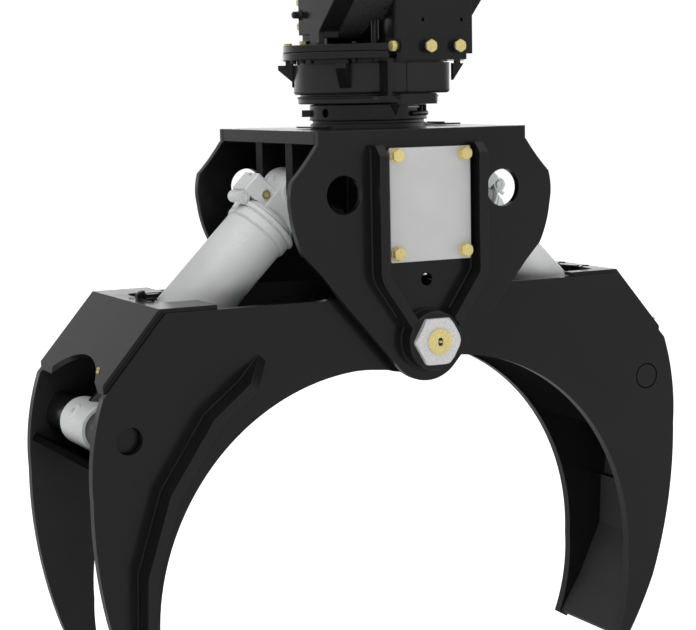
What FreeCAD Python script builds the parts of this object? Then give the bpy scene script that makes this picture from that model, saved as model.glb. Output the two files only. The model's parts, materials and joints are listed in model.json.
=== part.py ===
import FreeCAD, Part
import os
import math
from FreeCAD import Vector, Placement, Rotation

# Hydraulic log grapple: rotator and hanger on top, a fabricated head, two
# curved arms on one main pin, and one cylinder per arm.
# Working coordinates: origin on the main pin axis, X = opening direction,
# Y = along the main pin, Z up. Every sub-part is then lowered by
# hang_height, so the finished origin is the centre of the hanger bore.

doc = FreeCAD.newDocument("log_grapple")
sheet = doc.addObject("Spreadsheet::Sheet", "Dims")
DIMS = [
    ("hang_height", 1010.0),      # hanger bore above main pin
    ("hanger_bore_radius", 30.1),
    ("hanger_lug_radius", 62.0),
    ("hanger_lug_gap", 110.0),
    ("hanger_lug_width", 45.0),
    ("cheek_thick", 16.0),
    ("base_plate_thick", 19.0),
    ("flange_thick", 20.0),
    ("housing_radius", 196.0),
    ("housing_depth", 78.0),
    ("seal_ring_radius", 185.0),
    ("seal_ring_depth", 30.0),
    ("rotor_radius", 154.0),
    ("shaft_radius", 70.0),
    ("gear_pitch_radius", 110.0),
    ("gear_face", 22.0),
    ("pinion_pitch_radius", 30.0),
    ("head_half_width", 300.0),
    ("head_plate_thick", 22.0),
    ("top_plate_half_length", 300.0),
    ("top_plate_level", 534.0),
    ("top_plate_thick", 32.0),
    ("web_inner_half", 70.0),
    ("web_thick", 40.0),
    ("rib_thick", 25.0),
    ("rib_height", 48.0),
    ("boss_radius", 76.0),
    ("boss_height", 45.0),
    ("main_pin_radius", 50.0),
    ("nut_flats", 117.0),
    ("nut_thick", 14.0),
    ("base_pin_radius", 30.0),
    ("base_pin_x", 231.0),
    ("base_pin_z", 376.0),
    ("access_hole_radius", 48.0),
    ("nameplate_width", 234.0),
    ("nameplate_height", 286.0),
    ("nameplate_thick", 8.0),
    ("wide_arm_half", 252.0),
    ("narrow_arm_half", 159.0),
    ("arm_plate_thick", 25.0),
    ("cover_thick", 10.0),
    ("belly_thick", 16.0),
    ("back_thick", 14.0),
    ("arm_hub_radius", 85.0),
    ("arm_hub_bore", 60.0),
    ("bush_bore", 50.06),
    ("side_rib_thick", 25.0),
    ("side_rib_height", 65.0),
    ("rod_pin_radius", 34.5),
    ("rod_pin_x", 796.0),
    ("rod_pin_z", 187.0),
    ("barrel_radius", 84.0),
    ("barrel_bore", 70.0),
    ("collar_radius", 95.0),
    ("barrel_end", 640.0),
    ("rod_radius", 42.0),
    ("rod_length", 515.0),
    ("rod_eye_radius", 62.0),
    ("rod_eye_bore", 47.5),
    ("rod_eye_half", 80.0),
    ("base_eye_radius", 55.0),
    ("base_eye_half", 67.0),
]
for i, (alias, val) in enumerate(DIMS, 1):
    sheet.set("A%d" % i, alias)
    sheet.set("B%d" % i, repr(val))
    sheet.setAlias("B%d" % i, alias)
doc.recompute()
D = {a: float(sheet.get(a)) for a, _ in DIMS}
H = D["hang_height"]

NODES = []          # (label, object)


def V(x, y=0.0, z=0.0):
    return Vector(x, y, z)


def lower(obj, base=(0, 0, 0), rot=None):
    """Place a sub-part: base and rotation in working coordinates."""
    obj.Placement = Placement(V(base[0], base[1], base[2] - H), rot or Rotation())
    obj.setExpression("Placement.Base.z", "%r - Dims.hang_height" % float(base[2]))


def keep(label, obj):
    obj.Label = label
    NODES.append((label, obj))
    return obj


# ---------------------------------------------------------------- profiles
def path(start, *segs):
    """Closed profile: ('L', p) straight, ('A', mid, p) arc through mid."""
    geo = []
    p0 = start
    for s in segs:
        if s[0] == "L":
            if math.hypot(p0[0] - s[1][0], p0[1] - s[1][1]) > 1e-6:
                geo.append(Part.LineSegment(V(*p0), V(*s[1])))
            p0 = s[1]
        else:
            geo.append(Part.ArcOfCircle(V(*p0), V(*s[1]), V(*s[2])))
            p0 = s[2]
    if math.hypot(p0[0] - start[0], p0[1] - start[1]) > 1e-6:
        geo.append(Part.LineSegment(V(*p0), V(*start)))
    return geo


def poly(pts, radii=None):
    """Closed polygon; radii[i] rounds corner i with a tangent arc."""
    n = len(pts)
    radii = radii or [0] * n
    segs = []
    for i in range(n):
        p, a, b = V(*pts[i]), V(*pts[i - 1]), V(*pts[(i + 1) % n])
        r = radii[i]
        if r <= 0:
            segs.append((p, None, p))
            continue
        u = (a - p).normalize()
        w = (b - p).normalize()
        ang = u.getAngle(w)
        t = r / math.tan(ang / 2)
        c = p + (u + w).normalize() * (r / math.sin(ang / 2))
        m = c + (p - c).normalize() * r
        segs.append((p + u * t, m, p + w * t))
    geo = []
    for i in range(n):
        s, m, e = segs[i]
        if m is not None:
            geo.append(Part.ArcOfCircle(s, m, e))
        nxt = segs[(i + 1) % n][0]
        if (nxt - e).Length > 1e-6:
            geo.append(Part.LineSegment(e, nxt))
    return geo


def mirror_pts(pts):
    return [(-x, z) for x, z in pts]


def mirror_geo(geo):
    """The same profile on the -X side."""
    out = []
    for g in geo:
        if isinstance(g, Part.LineSegment):
            a, b = g.StartPoint, g.EndPoint
            out.append(Part.LineSegment(V(-a.x, a.y), V(-b.x, b.y)))
        else:
            a, b = g.StartPoint, g.EndPoint
            m = g.value((g.FirstParameter + g.LastParameter) / 2)
            out.append(Part.ArcOfCircle(V(-a.x, a.y), V(-m.x, m.y), V(-b.x, b.y)))
    return out


# ---------------------------------------------------------------- part design
def new_body(label):
    b = doc.addObject("PartDesign::Body", label)
    return b


def origin_plane(b, role):
    return [o for o in b.Origin.OriginFeatures if o.Role == role][0]


def sketch_on(b, role, offset, geos, circles=(), expr=None):
    sk = b.newObject("Sketcher::SketchObject", b.Name + "_sk")
    sk.AttachmentSupport = [(origin_plane(b, role), "")]
    sk.MapMode = "FlatFace"
    sk.AttachmentOffset = Placement(V(0, 0, offset), Rotation())
    if expr:
        sk.setExpression("AttachmentOffset.Base.z", expr)
    for g in geos:
        sk.addGeometry(g, False)
    for (cx, cy, r, alias) in circles:
        i = sk.addGeometry(Part.Circle(V(cx, cy), V(0, 0, 1), r), False)
        c = sk.addConstraint(Part_radius(i, r))
        if alias:
            sk.setExpression("Constraints[%d]" % c, alias)
    return sk


def Part_radius(i, r):
    import Sketcher
    return Sketcher.Constraint("Radius", i, r)


def pad(b, sk, length, expr=None, rev=False):
    p = b.newObject("PartDesign::Pad", b.Name + "_pad")
    p.Profile = sk
    p.Length = length
    if expr:
        p.setExpression("Length", expr)
    p.Reversed = rev
    b.Tip = p
    return p


def pocket(b, sk, length, rev=False, through=False):
    p = b.newObject("PartDesign::Pocket", b.Name + "_pocket")
    p.Profile = sk
    if through:
        p.Type = "ThroughAll"
    else:
        p.Length = length
    p.Reversed = rev
    b.Tip = p
    return p


def chamfer_faces(b, feat, size, axis=Vector(0, 1, 0), min_area=2000.0):
    """Break the edges of the flat faces square to axis."""
    doc.recompute()
    names = []
    for i, f in enumerate(feat.Shape.Faces, 1):
        if f.Surface.TypeId == "Part::GeomPlane" and f.Area > min_area:
            n = f.normalAt(0, 0)
            if abs(n.dot(axis)) > 0.999:
                names.append("Face%d" % i)
    v0 = feat.Shape.Volume
    c = b.newObject("PartDesign::Chamfer", b.Name + "_chamfer")
    c.Base = (feat, names)
    c.Size = size
    b.Tip = c
    doc.recompute()
    for again in (1.0, 0.7):
        if c.isValid() and not c.Shape.isNull() and c.Shape.isValid() and c.Shape.Volume > 0.9 * v0:
            break
        c.Size = again
        doc.recompute()
    if (not c.isValid()) or c.Shape.isNull() or not c.Shape.isValid() or c.Shape.Volume < 0.9 * v0:
        print("chamfer dropped on", b.Name)
        b.removeObject(c)
        doc.removeObject(c.Name)
        b.Tip = feat
        doc.recompute()
        return feat
    return c


def side_plate(label, geos, circles, inner, thick_alias, front, inner_expr, ch=1.5):
    """A plate square to Y. inner = distance of its inner face from mid-plane."""
    b = new_body(label)
    t = D[thick_alias]
    if front:
        sk = sketch_on(b, "XZ_Plane", inner, geos, circles, inner_expr)
    else:
        sk = sketch_on(b, "XZ_Plane", -(inner + t), geos, circles,
                       "-(%s) - Dims.%s" % (inner_expr, thick_alias))
    p = pad(b, sk, t, "Dims.%s" % thick_alias)
    if ch:
        p = chamfer_faces(b, p, ch)
    lower(b)
    return keep(label, b)


def across(label, geos, half, half_expr, circles=(), ch=0.0):
    """A piece of constant XZ section from Y = -half to +half."""
    b = new_body(label)
    sk = sketch_on(b, "XZ_Plane", -half, geos, circles, "-(%s)" % half_expr)
    p = pad(b, sk, 2 * half, "2 * (%s)" % half_expr)
    if ch:
        p = chamfer_faces(b, p, ch)
    return b


# ---------------------------------------------------------------- primitives
def cyl(r, h, base, axis="y", r_expr=None):
    c = doc.addObject("Part::Cylinder", "cyl")
    c.Radius = r
    if r_expr:
        c.setExpression("Radius", r_expr)
    c.Height = h
    rot = {"y": Rotation(V(1, 0, 0), -90), "z": Rotation(), "x": Rotation(V(0, 1, 0), 90)}[axis]
    c.Placement = Placement(V(*base), rot)
    return c


def box(x0, y0, z0, x1, y1, z1):
    b = doc.addObject("Part::Box", "box")
    b.Length, b.Width, b.Height = x1 - x0, y1 - y0, z1 - z0
    b.Placement = Placement(V(x0, y0, z0), Rotation())
    return b


def cut(a, *tools):
    for t in tools:
        c = doc.addObject("Part::Cut", "cut")
        c.Base, c.Tool = a, t
        a = c
    return a


def fuse(*objs):
    m = doc.addObject("Part::MultiFuse", "fuse")
    m.Shapes = list(objs)
    m.Refine = True
    return m


def group(*objs):
    """Several separate solids of one kind in one node."""
    m = doc.addObject("Part::Compound", "group")
    m.Links = list(objs)
    return m


def ring(ro, ri, h, base, axis="y", ro_expr=None, ri_expr=None):
    hole_base = list(base)
    k = {"x": 0, "y": 1, "z": 2}[axis]
    hole_base[k] -= 1
    return cut(cyl(ro, h, base, axis, ro_expr), cyl(ri, h + 2, hole_base, axis, ri_expr))


def chamfer_all(obj, size, pick=None):
    doc.recompute()
    f = doc.addObject("Part::Chamfer", "edge")
    f.Base = obj
    edges = []
    for i, e in enumerate(obj.Shape.Edges, 1):
        if pick is None or pick(e):
            edges.append((i, size, size))
    f.Edges = edges
    doc.recompute()
    if (not f.isValid()) or f.Shape.isNull() or not f.Shape.isValid():
        print("edge break dropped on", obj.Name)
        doc.removeObject(f.Name)
        return obj
    return f


def hexagon(af, cx=0.0, cy=0.0, turn=0.0, corner=0.0):
    r = af / math.sqrt(3)
    pts = [(cx + r * math.cos(math.radians(turn + 60 * k)),
            cy + r * math.sin(math.radians(turn + 60 * k))) for k in range(6)]
    return poly(pts, [corner] * 6)


def prism(geo, base, h, axis):
    """Extrude a flat profile (local XY) by h along an axis from base."""
    w = Part.Wire([g.toShape() for g in geo])
    s = Part.Face(w).extrude(V(0, 0, h))
    if axis == "-y":      # local x -> X, local y -> Z, out towards -Y
        rot = Rotation(V(1, 0, 0), 90)
    elif axis == "+y":
        rot = Rotation(V(1, 0, 0), -90)
    elif axis == "x":
        rot = Rotation(V(0, 1, 0), 90)
    elif axis == "-x":
        rot = Rotation(V(0, 1, 0), -90)
    else:
        rot = Rotation()
    s.Placement = Placement(V(*base), rot)
    o = doc.addObject("Part::Feature", "prism")
    o.Shape = s
    return o


def hex_bolt(p, axis, af=30.0, head=18.0, washer=22.0, shank_r=9.9, shank=20.0):
    """Hex head on a washer with its shank going into the work."""
    d = {"-y": V(0, -1, 0), "y": V(0, 1, 0), "-x": V(-1, 0, 0), "z": V(0, 0, 1), "x": V(1, 0, 0)}[axis]
    p = V(*p)
    s = Part.makeCylinder(washer, 3.5, p, d)
    w = Part.Wire([g.toShape() for g in hexagon(af, turn=30, corner=1.2)])
    hx = Part.Face(w).extrude(V(0, 0, head))
    cone = Part.makeCone(af * 0.49 + 22, af * 0.49, 22, V(0, 0, head - 22))
    hx = hx.common(cone)
    hx.Placement = Placement(p + d * 3.5, Rotation(V(0, 0, 1), d))
    s = s.fuse(hx)
    if shank:
        s = s.fuse(Part.makeCylinder(shank_r, shank + 1, p + d * 1.0, d * -1))
    s = s.removeSplitter()
    o = doc.addObject("Part::Feature", "bolt")
    o.Shape = s
    return o


def solid(shape):
    o = doc.addObject("Part::Feature", "solid")
    o.Shape = shape
    return o


# ================================================================ HEAD
T = D["head_plate_thick"]
HW = D["head_half_width"]
INNER = HW - T
half_outline = [(300, 534), (300, 501), (303, 499), (316, 477), (337, 453), (359, 433), (372, 415),
                (377, 400), (378, 355), (372, 310), (360, 268), (344, 229), (313, 195), (301, 184),
                (265, 133), (235, 105), (152, 11), (82, -69)]


def head_profile():
    r = half_outline
    l = mirror_pts(r)[::-1]
    return path(r[0],
                ("L", r[1]), ("L", r[2]),
                ("A", (337, 453.5), r[6]),
                ("A", (378.6, 377), (375, 331)),
                ("A", (362, 272), r[11]),
                ("L", r[13]), ("L", r[15]), ("L", r[17]),
                ("A", (0, -107), (-82, -69)),
                ("L", (-235, 105)), ("L", (-301, 184)), ("L", (-344, 229)),
                ("A", (-362, 272), (-375, 331)),
                ("A", (-378.6, 377), (-372, 415)),
                ("A", (-337, 453.5), (-303, 499)),
                ("L", (-300, 501)), ("L", (-300, 534)))


bx, bz = D["base_pin_x"], D["base_pin_z"]
head_holes = [(bx, bz, D["access_hole_radius"], "Dims.access_hole_radius"),
              (-bx, bz, D["access_hole_radius"], "Dims.access_hole_radius"),
              (0, 0, D["main_pin_radius"] + 0.05, "Dims.main_pin_radius + 0.05"),
              (0, 153, 16, None)]
side_plate("head_front_plate", head_profile(), head_holes, INNER, "head_plate_thick", True,
           "Dims.head_half_width - Dims.head_plate_thick")
side_plate("head_rear_plate", head_profile(), head_holes, INNER, "head_plate_thick", False,
           "Dims.head_half_width - Dims.head_plate_thick")

# top plate between the two side plates, with the bore for the rotor spigot
b = new_body("head_top_plate")
L = D["top_plate_half_length"]
sk = sketch_on(b, "XY_Plane", D["top_plate_level"] - D["top_plate_thick"],
               poly([(-L, -INNER), (L, -INNER), (L, INNER), (-L, INNER)], [4] * 4),
               [(0, 0, 60, None)] + [(128 * math.cos(math.radians(a)), 128 * math.sin(math.radians(a)), 11, None)
                                     for a in range(15, 375, 30)],
               "Dims.top_plate_level - Dims.top_plate_thick")
p = pad(b, sk, D["top_plate_thick"], "Dims.top_plate_thick")
lower(b)
keep("head_top_plate", b)

# inner frame: two lug webs for the cylinder base pins and a centre box
WI, WT = D["web_inner_half"], D["web_thick"]
web = [(280, 502), (280, 372), (276, 352), (262, 326), (231, 316), (200, 326), (176, 345), (140, 332),
       (126, 300), (126, 175)]
web_geo = poly(web + mirror_pts(web)[::-1],
               [0, 0, 0, 24, 30, 24, 18, 18, 20, 12] + [12, 20, 18, 18, 24, 30, 24, 0, 0, 0])
webs = []
for k, s in ((0, 1), (1, -1)):
    w = new_body("head_web_%d" % k)
    off = WI if s > 0 else -(WI + WT)
    ex = "Dims.web_inner_half" if s > 0 else "-Dims.web_inner_half - Dims.web_thick"
    sk = sketch_on(w, "XZ_Plane", off, [g for g in poly(web + mirror_pts(web)[::-1],
                   [0, 0, 0, 24, 30, 24, 18, 18, 20, 12] + [12, 20, 18, 18, 24, 30, 24, 0, 0, 0])],
                   [(bx, bz, 30.05, "Dims.base_pin_radius + 0.05"), (-bx, bz, 30.05, "Dims.base_pin_radius + 0.05")],
                   ex)
    pad(w, sk, WT, "Dims.web_thick")
    webs.append(w)
doc.recompute()
cross = []
for s in (1, -1):
    cross.append(box(s * 110 - 11, -INNER, 190, s * 110 + 11, INNER, 502))
frame = fuse(*(webs + cross))
lower(frame)
keep("head_inner_frame", frame)


# V-shaped stiffening ribs: flat bars on edge, vertical and then towards the boss
def line_circle(p, d, r):
    """Last crossing of p + t d with the circle of radius r about the origin."""
    b_ = p[0] * d[0] + p[1] * d[1]
    c_ = p[0] ** 2 + p[1] ** 2 - r * r
    t = -b_ - math.sqrt(b_ * b_ - c_)
    return (p[0] + t * d[0], p[1] + t * d[1])


dl = math.hypot(-75, -109)
dv = (-75 / dl, -109 / dl)
RB = D["boss_radius"] + 0.15
o2 = line_circle((150, 153), dv, RB)
rt = D["rib_thick"]
inn = (150 - rt * 0.824, 153 + rt * 0.567)
i2 = line_circle(inn, dv, RB)
mid_ang = (math.atan2(o2[1], o2[0]) + math.atan2(i2[1], i2[0])) / 2
# the inner line meets the vertical inner face here
ix = 156 - rt
iz = inn[1] + (ix - inn[0]) * dv[1] / dv[0]


def rib_geo():
    return path((156, 497), ("L", (156, 192)), ("A", (155, 171), (146, 147)),
                ("L", o2), ("A", (RB * math.cos(mid_ang), RB * math.sin(mid_ang)), i2),
                ("L", (ix - 6, iz - 9)), ("A", (ix - 1, iz + 1), (ix, iz + 12)),
                ("L", (ix, 497)))


rib_parts = []
RH = D["rib_height"]
for side in ("front", "rear"):
    for s in (1, -1):
        r_ = new_body("head_rib_%s_%d" % (side, 0 if s > 0 else 1))
        g = rib_geo() if s > 0 else mirror_geo(rib_geo())
        off = HW if side == "front" else -(HW + RH)
        ex = "Dims.head_half_width" if side == "front" else "-Dims.head_half_width - Dims.rib_height"
        sk = sketch_on(r_, "XZ_Plane", off, g, (), ex)
        pad(r_, sk, RH, "Dims.rib_height")
        doc.recompute()
        # sloped top end of the bar
        q = -1 if side == "front" else 1
        yo = q * (HW + RH)
        w = Part.Face(Part.makePolygon([V(0, yo + 2 * q, 470), V(0, yo - 30 * q, 502), V(0, yo + 2 * q, 502),
                                        V(0, yo + 2 * q, 470)]))
        cutter = solid(w.extrude(V(420, 0, 0)))
        cutter.Placement = Placement(V(-210, 0, 0), Rotation())
        rib_parts.append(cut(r_, cutter))
ribs = group(*rib_parts)
lower(ribs)
keep("head_ribs", ribs)

# bosses for the main pin, welded to the outside of both plates
BR, BH = D["boss_radius"], D["boss_height"]
b1 = ring(BR, D["main_pin_radius"] + 0.05, BH, (0, -HW - BH, 0), "y", "Dims.boss_radius", "Dims.main_pin_radius + 0.05")
b2 = ring(BR, D["main_pin_radius"] + 0.05, BH, (0, HW, 0), "y", "Dims.boss_radius", "Dims.main_pin_radius + 0.05")
bosses = group(chamfer_all(b1, 3.0, lambda e: abs(e.BoundBox.YMin + HW + BH) < 0.01 and e.BoundBox.YLength < 0.01),
               chamfer_all(b2, 3.0, lambda e: abs(e.BoundBox.YMax - HW - BH) < 0.01 and e.BoundBox.YLength < 0.01))
lower(bosses)
keep("head_pin_bosses", bosses)

# main pin with reduced ends for the lock plates
pin_len = HW + BH
mp = fuse(cyl(D["main_pin_radius"], 2 * pin_len, (0, -pin_len, 0), "y", "Dims.main_pin_radius"),
          cyl(32.5, 2 * (pin_len + 13), (0, -pin_len - 13, 0), "y"))
lower(mp)
keep("main_pin", mp)

nut_parts = []
cap_parts = []
for s in (-1, 1):
    ax = "-y" if s < 0 else "+y"
    y0 = s * pin_len
    hx = prism(hexagon(D["nut_flats"], turn=0, corner=9), (0, y0, 0), D["nut_thick"], ax)
    cone = Part.makeCone(D["nut_flats"] * 0.5 + 26, D["nut_flats"] * 0.5 + 2, 24, V(0, y0 + s * (D["nut_thick"] - 24), 0), V(0, s, 0))
    n = doc.addObject("Part::Common", "nutc")
    n.Base, n.Tool = hx, solid(cone)
    hole = cyl(32.55, D["nut_thick"] + 2, (0, y0 - 1 if s > 0 else y0 - D["nut_thick"] - 1, 0), "y")
    nut_parts.append(cut(n, hole))
    # round end cap, slightly dished, with a slotted grease recess
    c0 = Part.makeCylinder(33.5, 3.0, V(0, y0 + s * 14.1, 0), V(0, s, 0))
    c1 = Part.makeCone(33.5, 30.0, 2.5, V(0, y0 + s * 17.1, 0), V(0, s, 0))
    c2 = Part.makeCone(13.0, 11.5, 1.0, V(0, y0 + s * 19.6, 0), V(0, s, 0))
    ch = Part.makeCylinder(7, 6, V(0, y0 + s * 15.6, 4), V(0, s, 0))
    ch = ch.fuse([Part.makeCylinder(7, 6, V(0, y0 + s * 15.6, -4), V(0, s, 0)),
                  Part.makeBox(14, 6, 8, V(-7, (y0 + s * 15.6) - (6 if s < 0 else 0), -4))])
    cap_parts.append(solid(c0.fuse([c1, c2]).cut(ch).removeSplitter()))
nuts = group(*nut_parts)
lower(nuts)
keep("main_pin_lock_plates", nuts)
caps = group(*cap_parts)
lower(caps)
keep("main_pin_caps", caps)

# cylinder base pins with a retaining flange at each end
pins = []
for s in (-1, 1):
    pins.append(fuse(cyl(30, 236, (s * bx, -118, bz), "y", "Dims.base_pin_radius"),
                     cyl(40, 7, (s * bx, -118, bz), "y"), cyl(40, 7, (s * bx, 111, bz), "y")))
bp = group(*pins)
lower(bp)
keep("cylinder_base_pins", bp)

# plain name plate on four bolts and spacers, clear of the front plate
nw, nh, nt = D["nameplate_width"] / 2, D["nameplate_height"], D["nameplate_thick"]
b = new_body("nameplate")
np_z0 = 202.6
bolt_xz = [(-98, np_z0 + 22), (98, np_z0 + 22), (-98, np_z0 + nh - 19), (98, np_z0 + nh - 19)]
sk = sketch_on(b, "XZ_Plane", HW + 25 - nt,
               poly([(-nw, np_z0), (nw, np_z0), (nw, np_z0 + nh), (-nw, np_z0 + nh)], [5] * 4),
               [(x, z, 10.2, None) for x, z in bolt_xz], "Dims.head_half_width + 25 - Dims.nameplate_thick")
pp = pad(b, sk, nt, "Dims.nameplate_thick")
chamfer_faces(b, pp, 1.0)
lower(b)
keep("nameplate", b)
nb = []
for x, z in bolt_xz:
    sp = ring(15, 10.2, 25 - nt, (x, -HW - 25 + nt, z), "y")
    nb.append(hex_bolt((x, -HW - 25, z), "-y", af=30, head=13, washer=19, shank_r=10, shank=25))
    nb.append(sp)
nbg = group(*nb)
lower(nbg)
keep("nameplate_bolts", nbg)

# ================================================================ ARMS
RH_ = 103.0


def arm_outline():
    """Side plate of an arm, +X side."""
    return path((0, 103), ("A", (-103, 0), (0, -103)),
                ("L", (18, -101.4)),
                ("A", (66, -84), (120, -76)),
                ("A", (150, -73.5), (190, -74)),
                ("A", (412, -138), (618, -316)),
                ("A", (707, -495), (733, -700)),
                ("A", (727, -822), (695, -937)),
                ("L", (722, -953)),
                ("A", (776, -862), (820, -770)),
                ("A", (874, -560), (891, -330)),
                ("A", (884, -185), (858, -80.4)),
                ("L", (691.7, 112)),
                ("L", (240, 112)), ("A", (120, 111), (0, 103)))


px, pz = D["rod_pin_x"], -D["rod_pin_z"]
for side, s, half in (("left", -1, "wide_arm_half"), ("right", 1, "narrow_arm_half")):
    W = D[half]
    at = D["arm_plate_thick"]
    holes = [(0, 0, D["arm_hub_radius"] + 0.05, "Dims.arm_hub_radius + 0.05"),
             (s * px, pz, D["rod_pin_radius"] + 0.05, "Dims.rod_pin_radius + 0.05")]
    for face in ("front", "rear"):
        g = arm_outline() if s > 0 else mirror_geo(arm_outline())
        side_plate("%s_arm_%s_plate" % (side, face), g, holes, W - at, "arm_plate_thick", face == "front",
                   "Dims.%s - Dims.arm_plate_thick" % half)
    # bent cover plate, set in from both faces, with an opening for the barrel
    # and a curved cut-out over the rod eye
    inset = 16.5
    cw = W - inset
    ct = D["cover_thick"]
    cg = path((552, 112), ("L", (691.7, 112)), ("L", (851, -72.3)), ("L", (852, -50)), ("L", (703.5, 122)), ("L", (552, 122)))
    if s < 0:
        cg = mirror_geo(cg)
    cb = across("%s_cover_plate" % side, cg, cw, "Dims.%s - 16.5" % half)
    doc.recompute()
    if side == "left":
        rn, barrel_half, yn = 240.0, 112.0, -22.0
    else:
        rn, barrel_half, yn = 122.0, 108.0, 0.0
    n_dir = V(0.757 * s, 0, 0.654)
    t_dir = V(0.654 * s, 0, -0.757)
    ctr = V(853 * s, yn, -55.5) + t_dir * (rn - 63.5)
    notch = solid(Part.makeCylinder(rn, 80, ctr - n_dir * 40, n_dir))
    slot = solid(Part.makeBox(58, 2 * barrel_half, 30, V(540 if s > 0 else -598, -barrel_half, 104)))
    slot2 = solid(Part.makeCylinder(barrel_half, 30, V(s * 598, 0, 104)).common(
        Part.makeBox(60, 2 * barrel_half, 40, V(598 if s > 0 else -658, -barrel_half, 100))))
    cover = cut(cb, notch, slot, slot2)
    # catch for the barrel guard at the head of the slot: hooked upwards on the
    # wide arm, a tongue with a down-turned tab on the narrow one
    if side == "left":
        lip_pts = [(671, 120), (671, 134), (661, 140), (651, 142), (650, 135), (646, 132.5), (627, 132), (611, 133),
                   (617, 125), (620, 119.5), (625, 119), (644, 123.5), (657, 124), (657, 120)]
    else:
        lip_pts = [(672, 120), (672, 124), (657, 124.5), (614, 129), (616, 125), (640, 118), (640, 101), (648, 101),
                   (650, 114), (657, 115)]
    lip = prism(poly([(s * x, z) for x, z in lip_pts]), (0, 8, 0), 16, "-y")
    cov = fuse(cover, lip)
    lower(cov)
    keep("%s_arm_cover" % side, cov)
    # belly plate along the inner arc, bent outwards below the rod eye
    cx0, cz0, r1 = 115.0, -700.0, 641.0
    r2 = r1 + D["belly_thick"]
    a0, a1 = math.radians(90 - 1.0), math.radians(90 - 52.4)
    am = (a0 + a1) / 2
    P = lambda r, a: (cx0 + r * math.cos(a), cz0 + r * math.sin(a))
    bg = path(P(r1, a0), ("A", P(r1, am), P(r1, a1)), ("L", (742, -322)), ("L", (886, -253)), ("L", (880, -238)),
              ("L", (738, -306)), ("L", (P(r2, a1)[0] - 4, P(r2, a1)[1] + 8)),
              ("L", P(r2, a1 + 0.035)), ("A", P(r2, am), P(r2, a0)))
    if s < 0:
        bg = mirror_geo(bg)
    bw = across("%s_belly" % side, bg, W - at, "Dims.%s - Dims.arm_plate_thick" % half)
    lower(bw)
    keep("%s_arm_belly_plate" % side, bw)
    # bosses for the rod pin, on the inside of both plates
    eye = D["rod_eye_half"] + 2.0
    bl = W - at - eye
    bo = group(ring(50, 34.55, bl, (s * px, -(W - at), pz), "y", None, "Dims.rod_pin_radius + 0.05"),
               ring(50, 34.55, bl, (s * px, eye, pz), "y", None, "Dims.rod_pin_radius + 0.05"))
    lower(bo)
    keep("%s_arm_pin_bosses" % side, bo)
    plen = W - at - 1 if side == "left" else W
    rp = chamfer_all(cyl(34.5, 2 * plen, (s * px, -plen, pz), "y", "Dims.rod_pin_radius"), 2.0,
                     lambda e: e.BoundBox.YLength < 0.01)
    lower(rp)
    keep("%s_rod_pin" % side, rp)

# hubs on the main pin: the narrow arm turns between the two wide-arm hubs
HR, HB = D["arm_hub_radius"], D["arm_hub_bore"]
lh = group(ring(HR, HB, 115, (0, -276.5, 0), "y", "Dims.arm_hub_radius", "Dims.arm_hub_bore"),
           ring(HR, HB, 115, (0, 161.5, 0), "y", "Dims.arm_hub_radius", "Dims.arm_hub_bore"))
lower(lh)
keep("left_arm_hubs", lh)
rh = ring(HR, HB, 320, (0, -160, 0), "y", "Dims.arm_hub_radius", "Dims.arm_hub_bore")
lower(rh)
keep("right_arm_hub", rh)
lb = group(ring(HB - 0.05, D["bush_bore"], 110, (0, -274, 0), "y", "Dims.arm_hub_bore - 0.05", "Dims.bush_bore"),
           ring(HB - 0.05, D["bush_bore"], 110, (0, 164, 0), "y", "Dims.arm_hub_bore - 0.05", "Dims.bush_bore"))
lower(lb)
keep("left_arm_bushes", lb)
rb = group(ring(HB - 0.05, D["bush_bore"], 90, (0, -158, 0), "y", "Dims.arm_hub_bore - 0.05", "Dims.bush_bore"),
           ring(HB - 0.05, D["bush_bore"], 90, (0, 68, 0), "y", "Dims.arm_hub_bore - 0.05", "Dims.bush_bore"))
lower(rb)
keep("right_arm_bushes", rb)

# stiffening bars on the outside of the wide arm, square to the plate, with
# ramped ends
line = [(453, -8), (505, -67), (602, -144), (720, -317), (784, -512), (789, -650), (777, -790), (742, -890)]


def offset_line(pts, d):
    out = []
    n = len(pts)
    for i in range(n):
        p_ = V(*pts[i])
        if i == 0:
            t_ = (V(*pts[1]) - p_).normalize()
            nn = V(t_.y, -t_.x)
            out.append(p_ + nn * d)
        elif i == n - 1:
            t_ = (p_ - V(*pts[i - 1])).normalize()
            nn = V(t_.y, -t_.x)
            out.append(p_ + nn * d)
        else:
            t1 = (p_ - V(*pts[i - 1])).normalize()
            t2 = (V(*pts[i + 1]) - p_).normalize()
            n1, n2 = V(t1.y, -t1.x), V(t2.y, -t2.x)
            m_ = (n1 + n2).normalize()
            out.append(p_ + m_ * (d / m_.dot(n1)))
    return [(q.x, q.y) for q in out]


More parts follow.
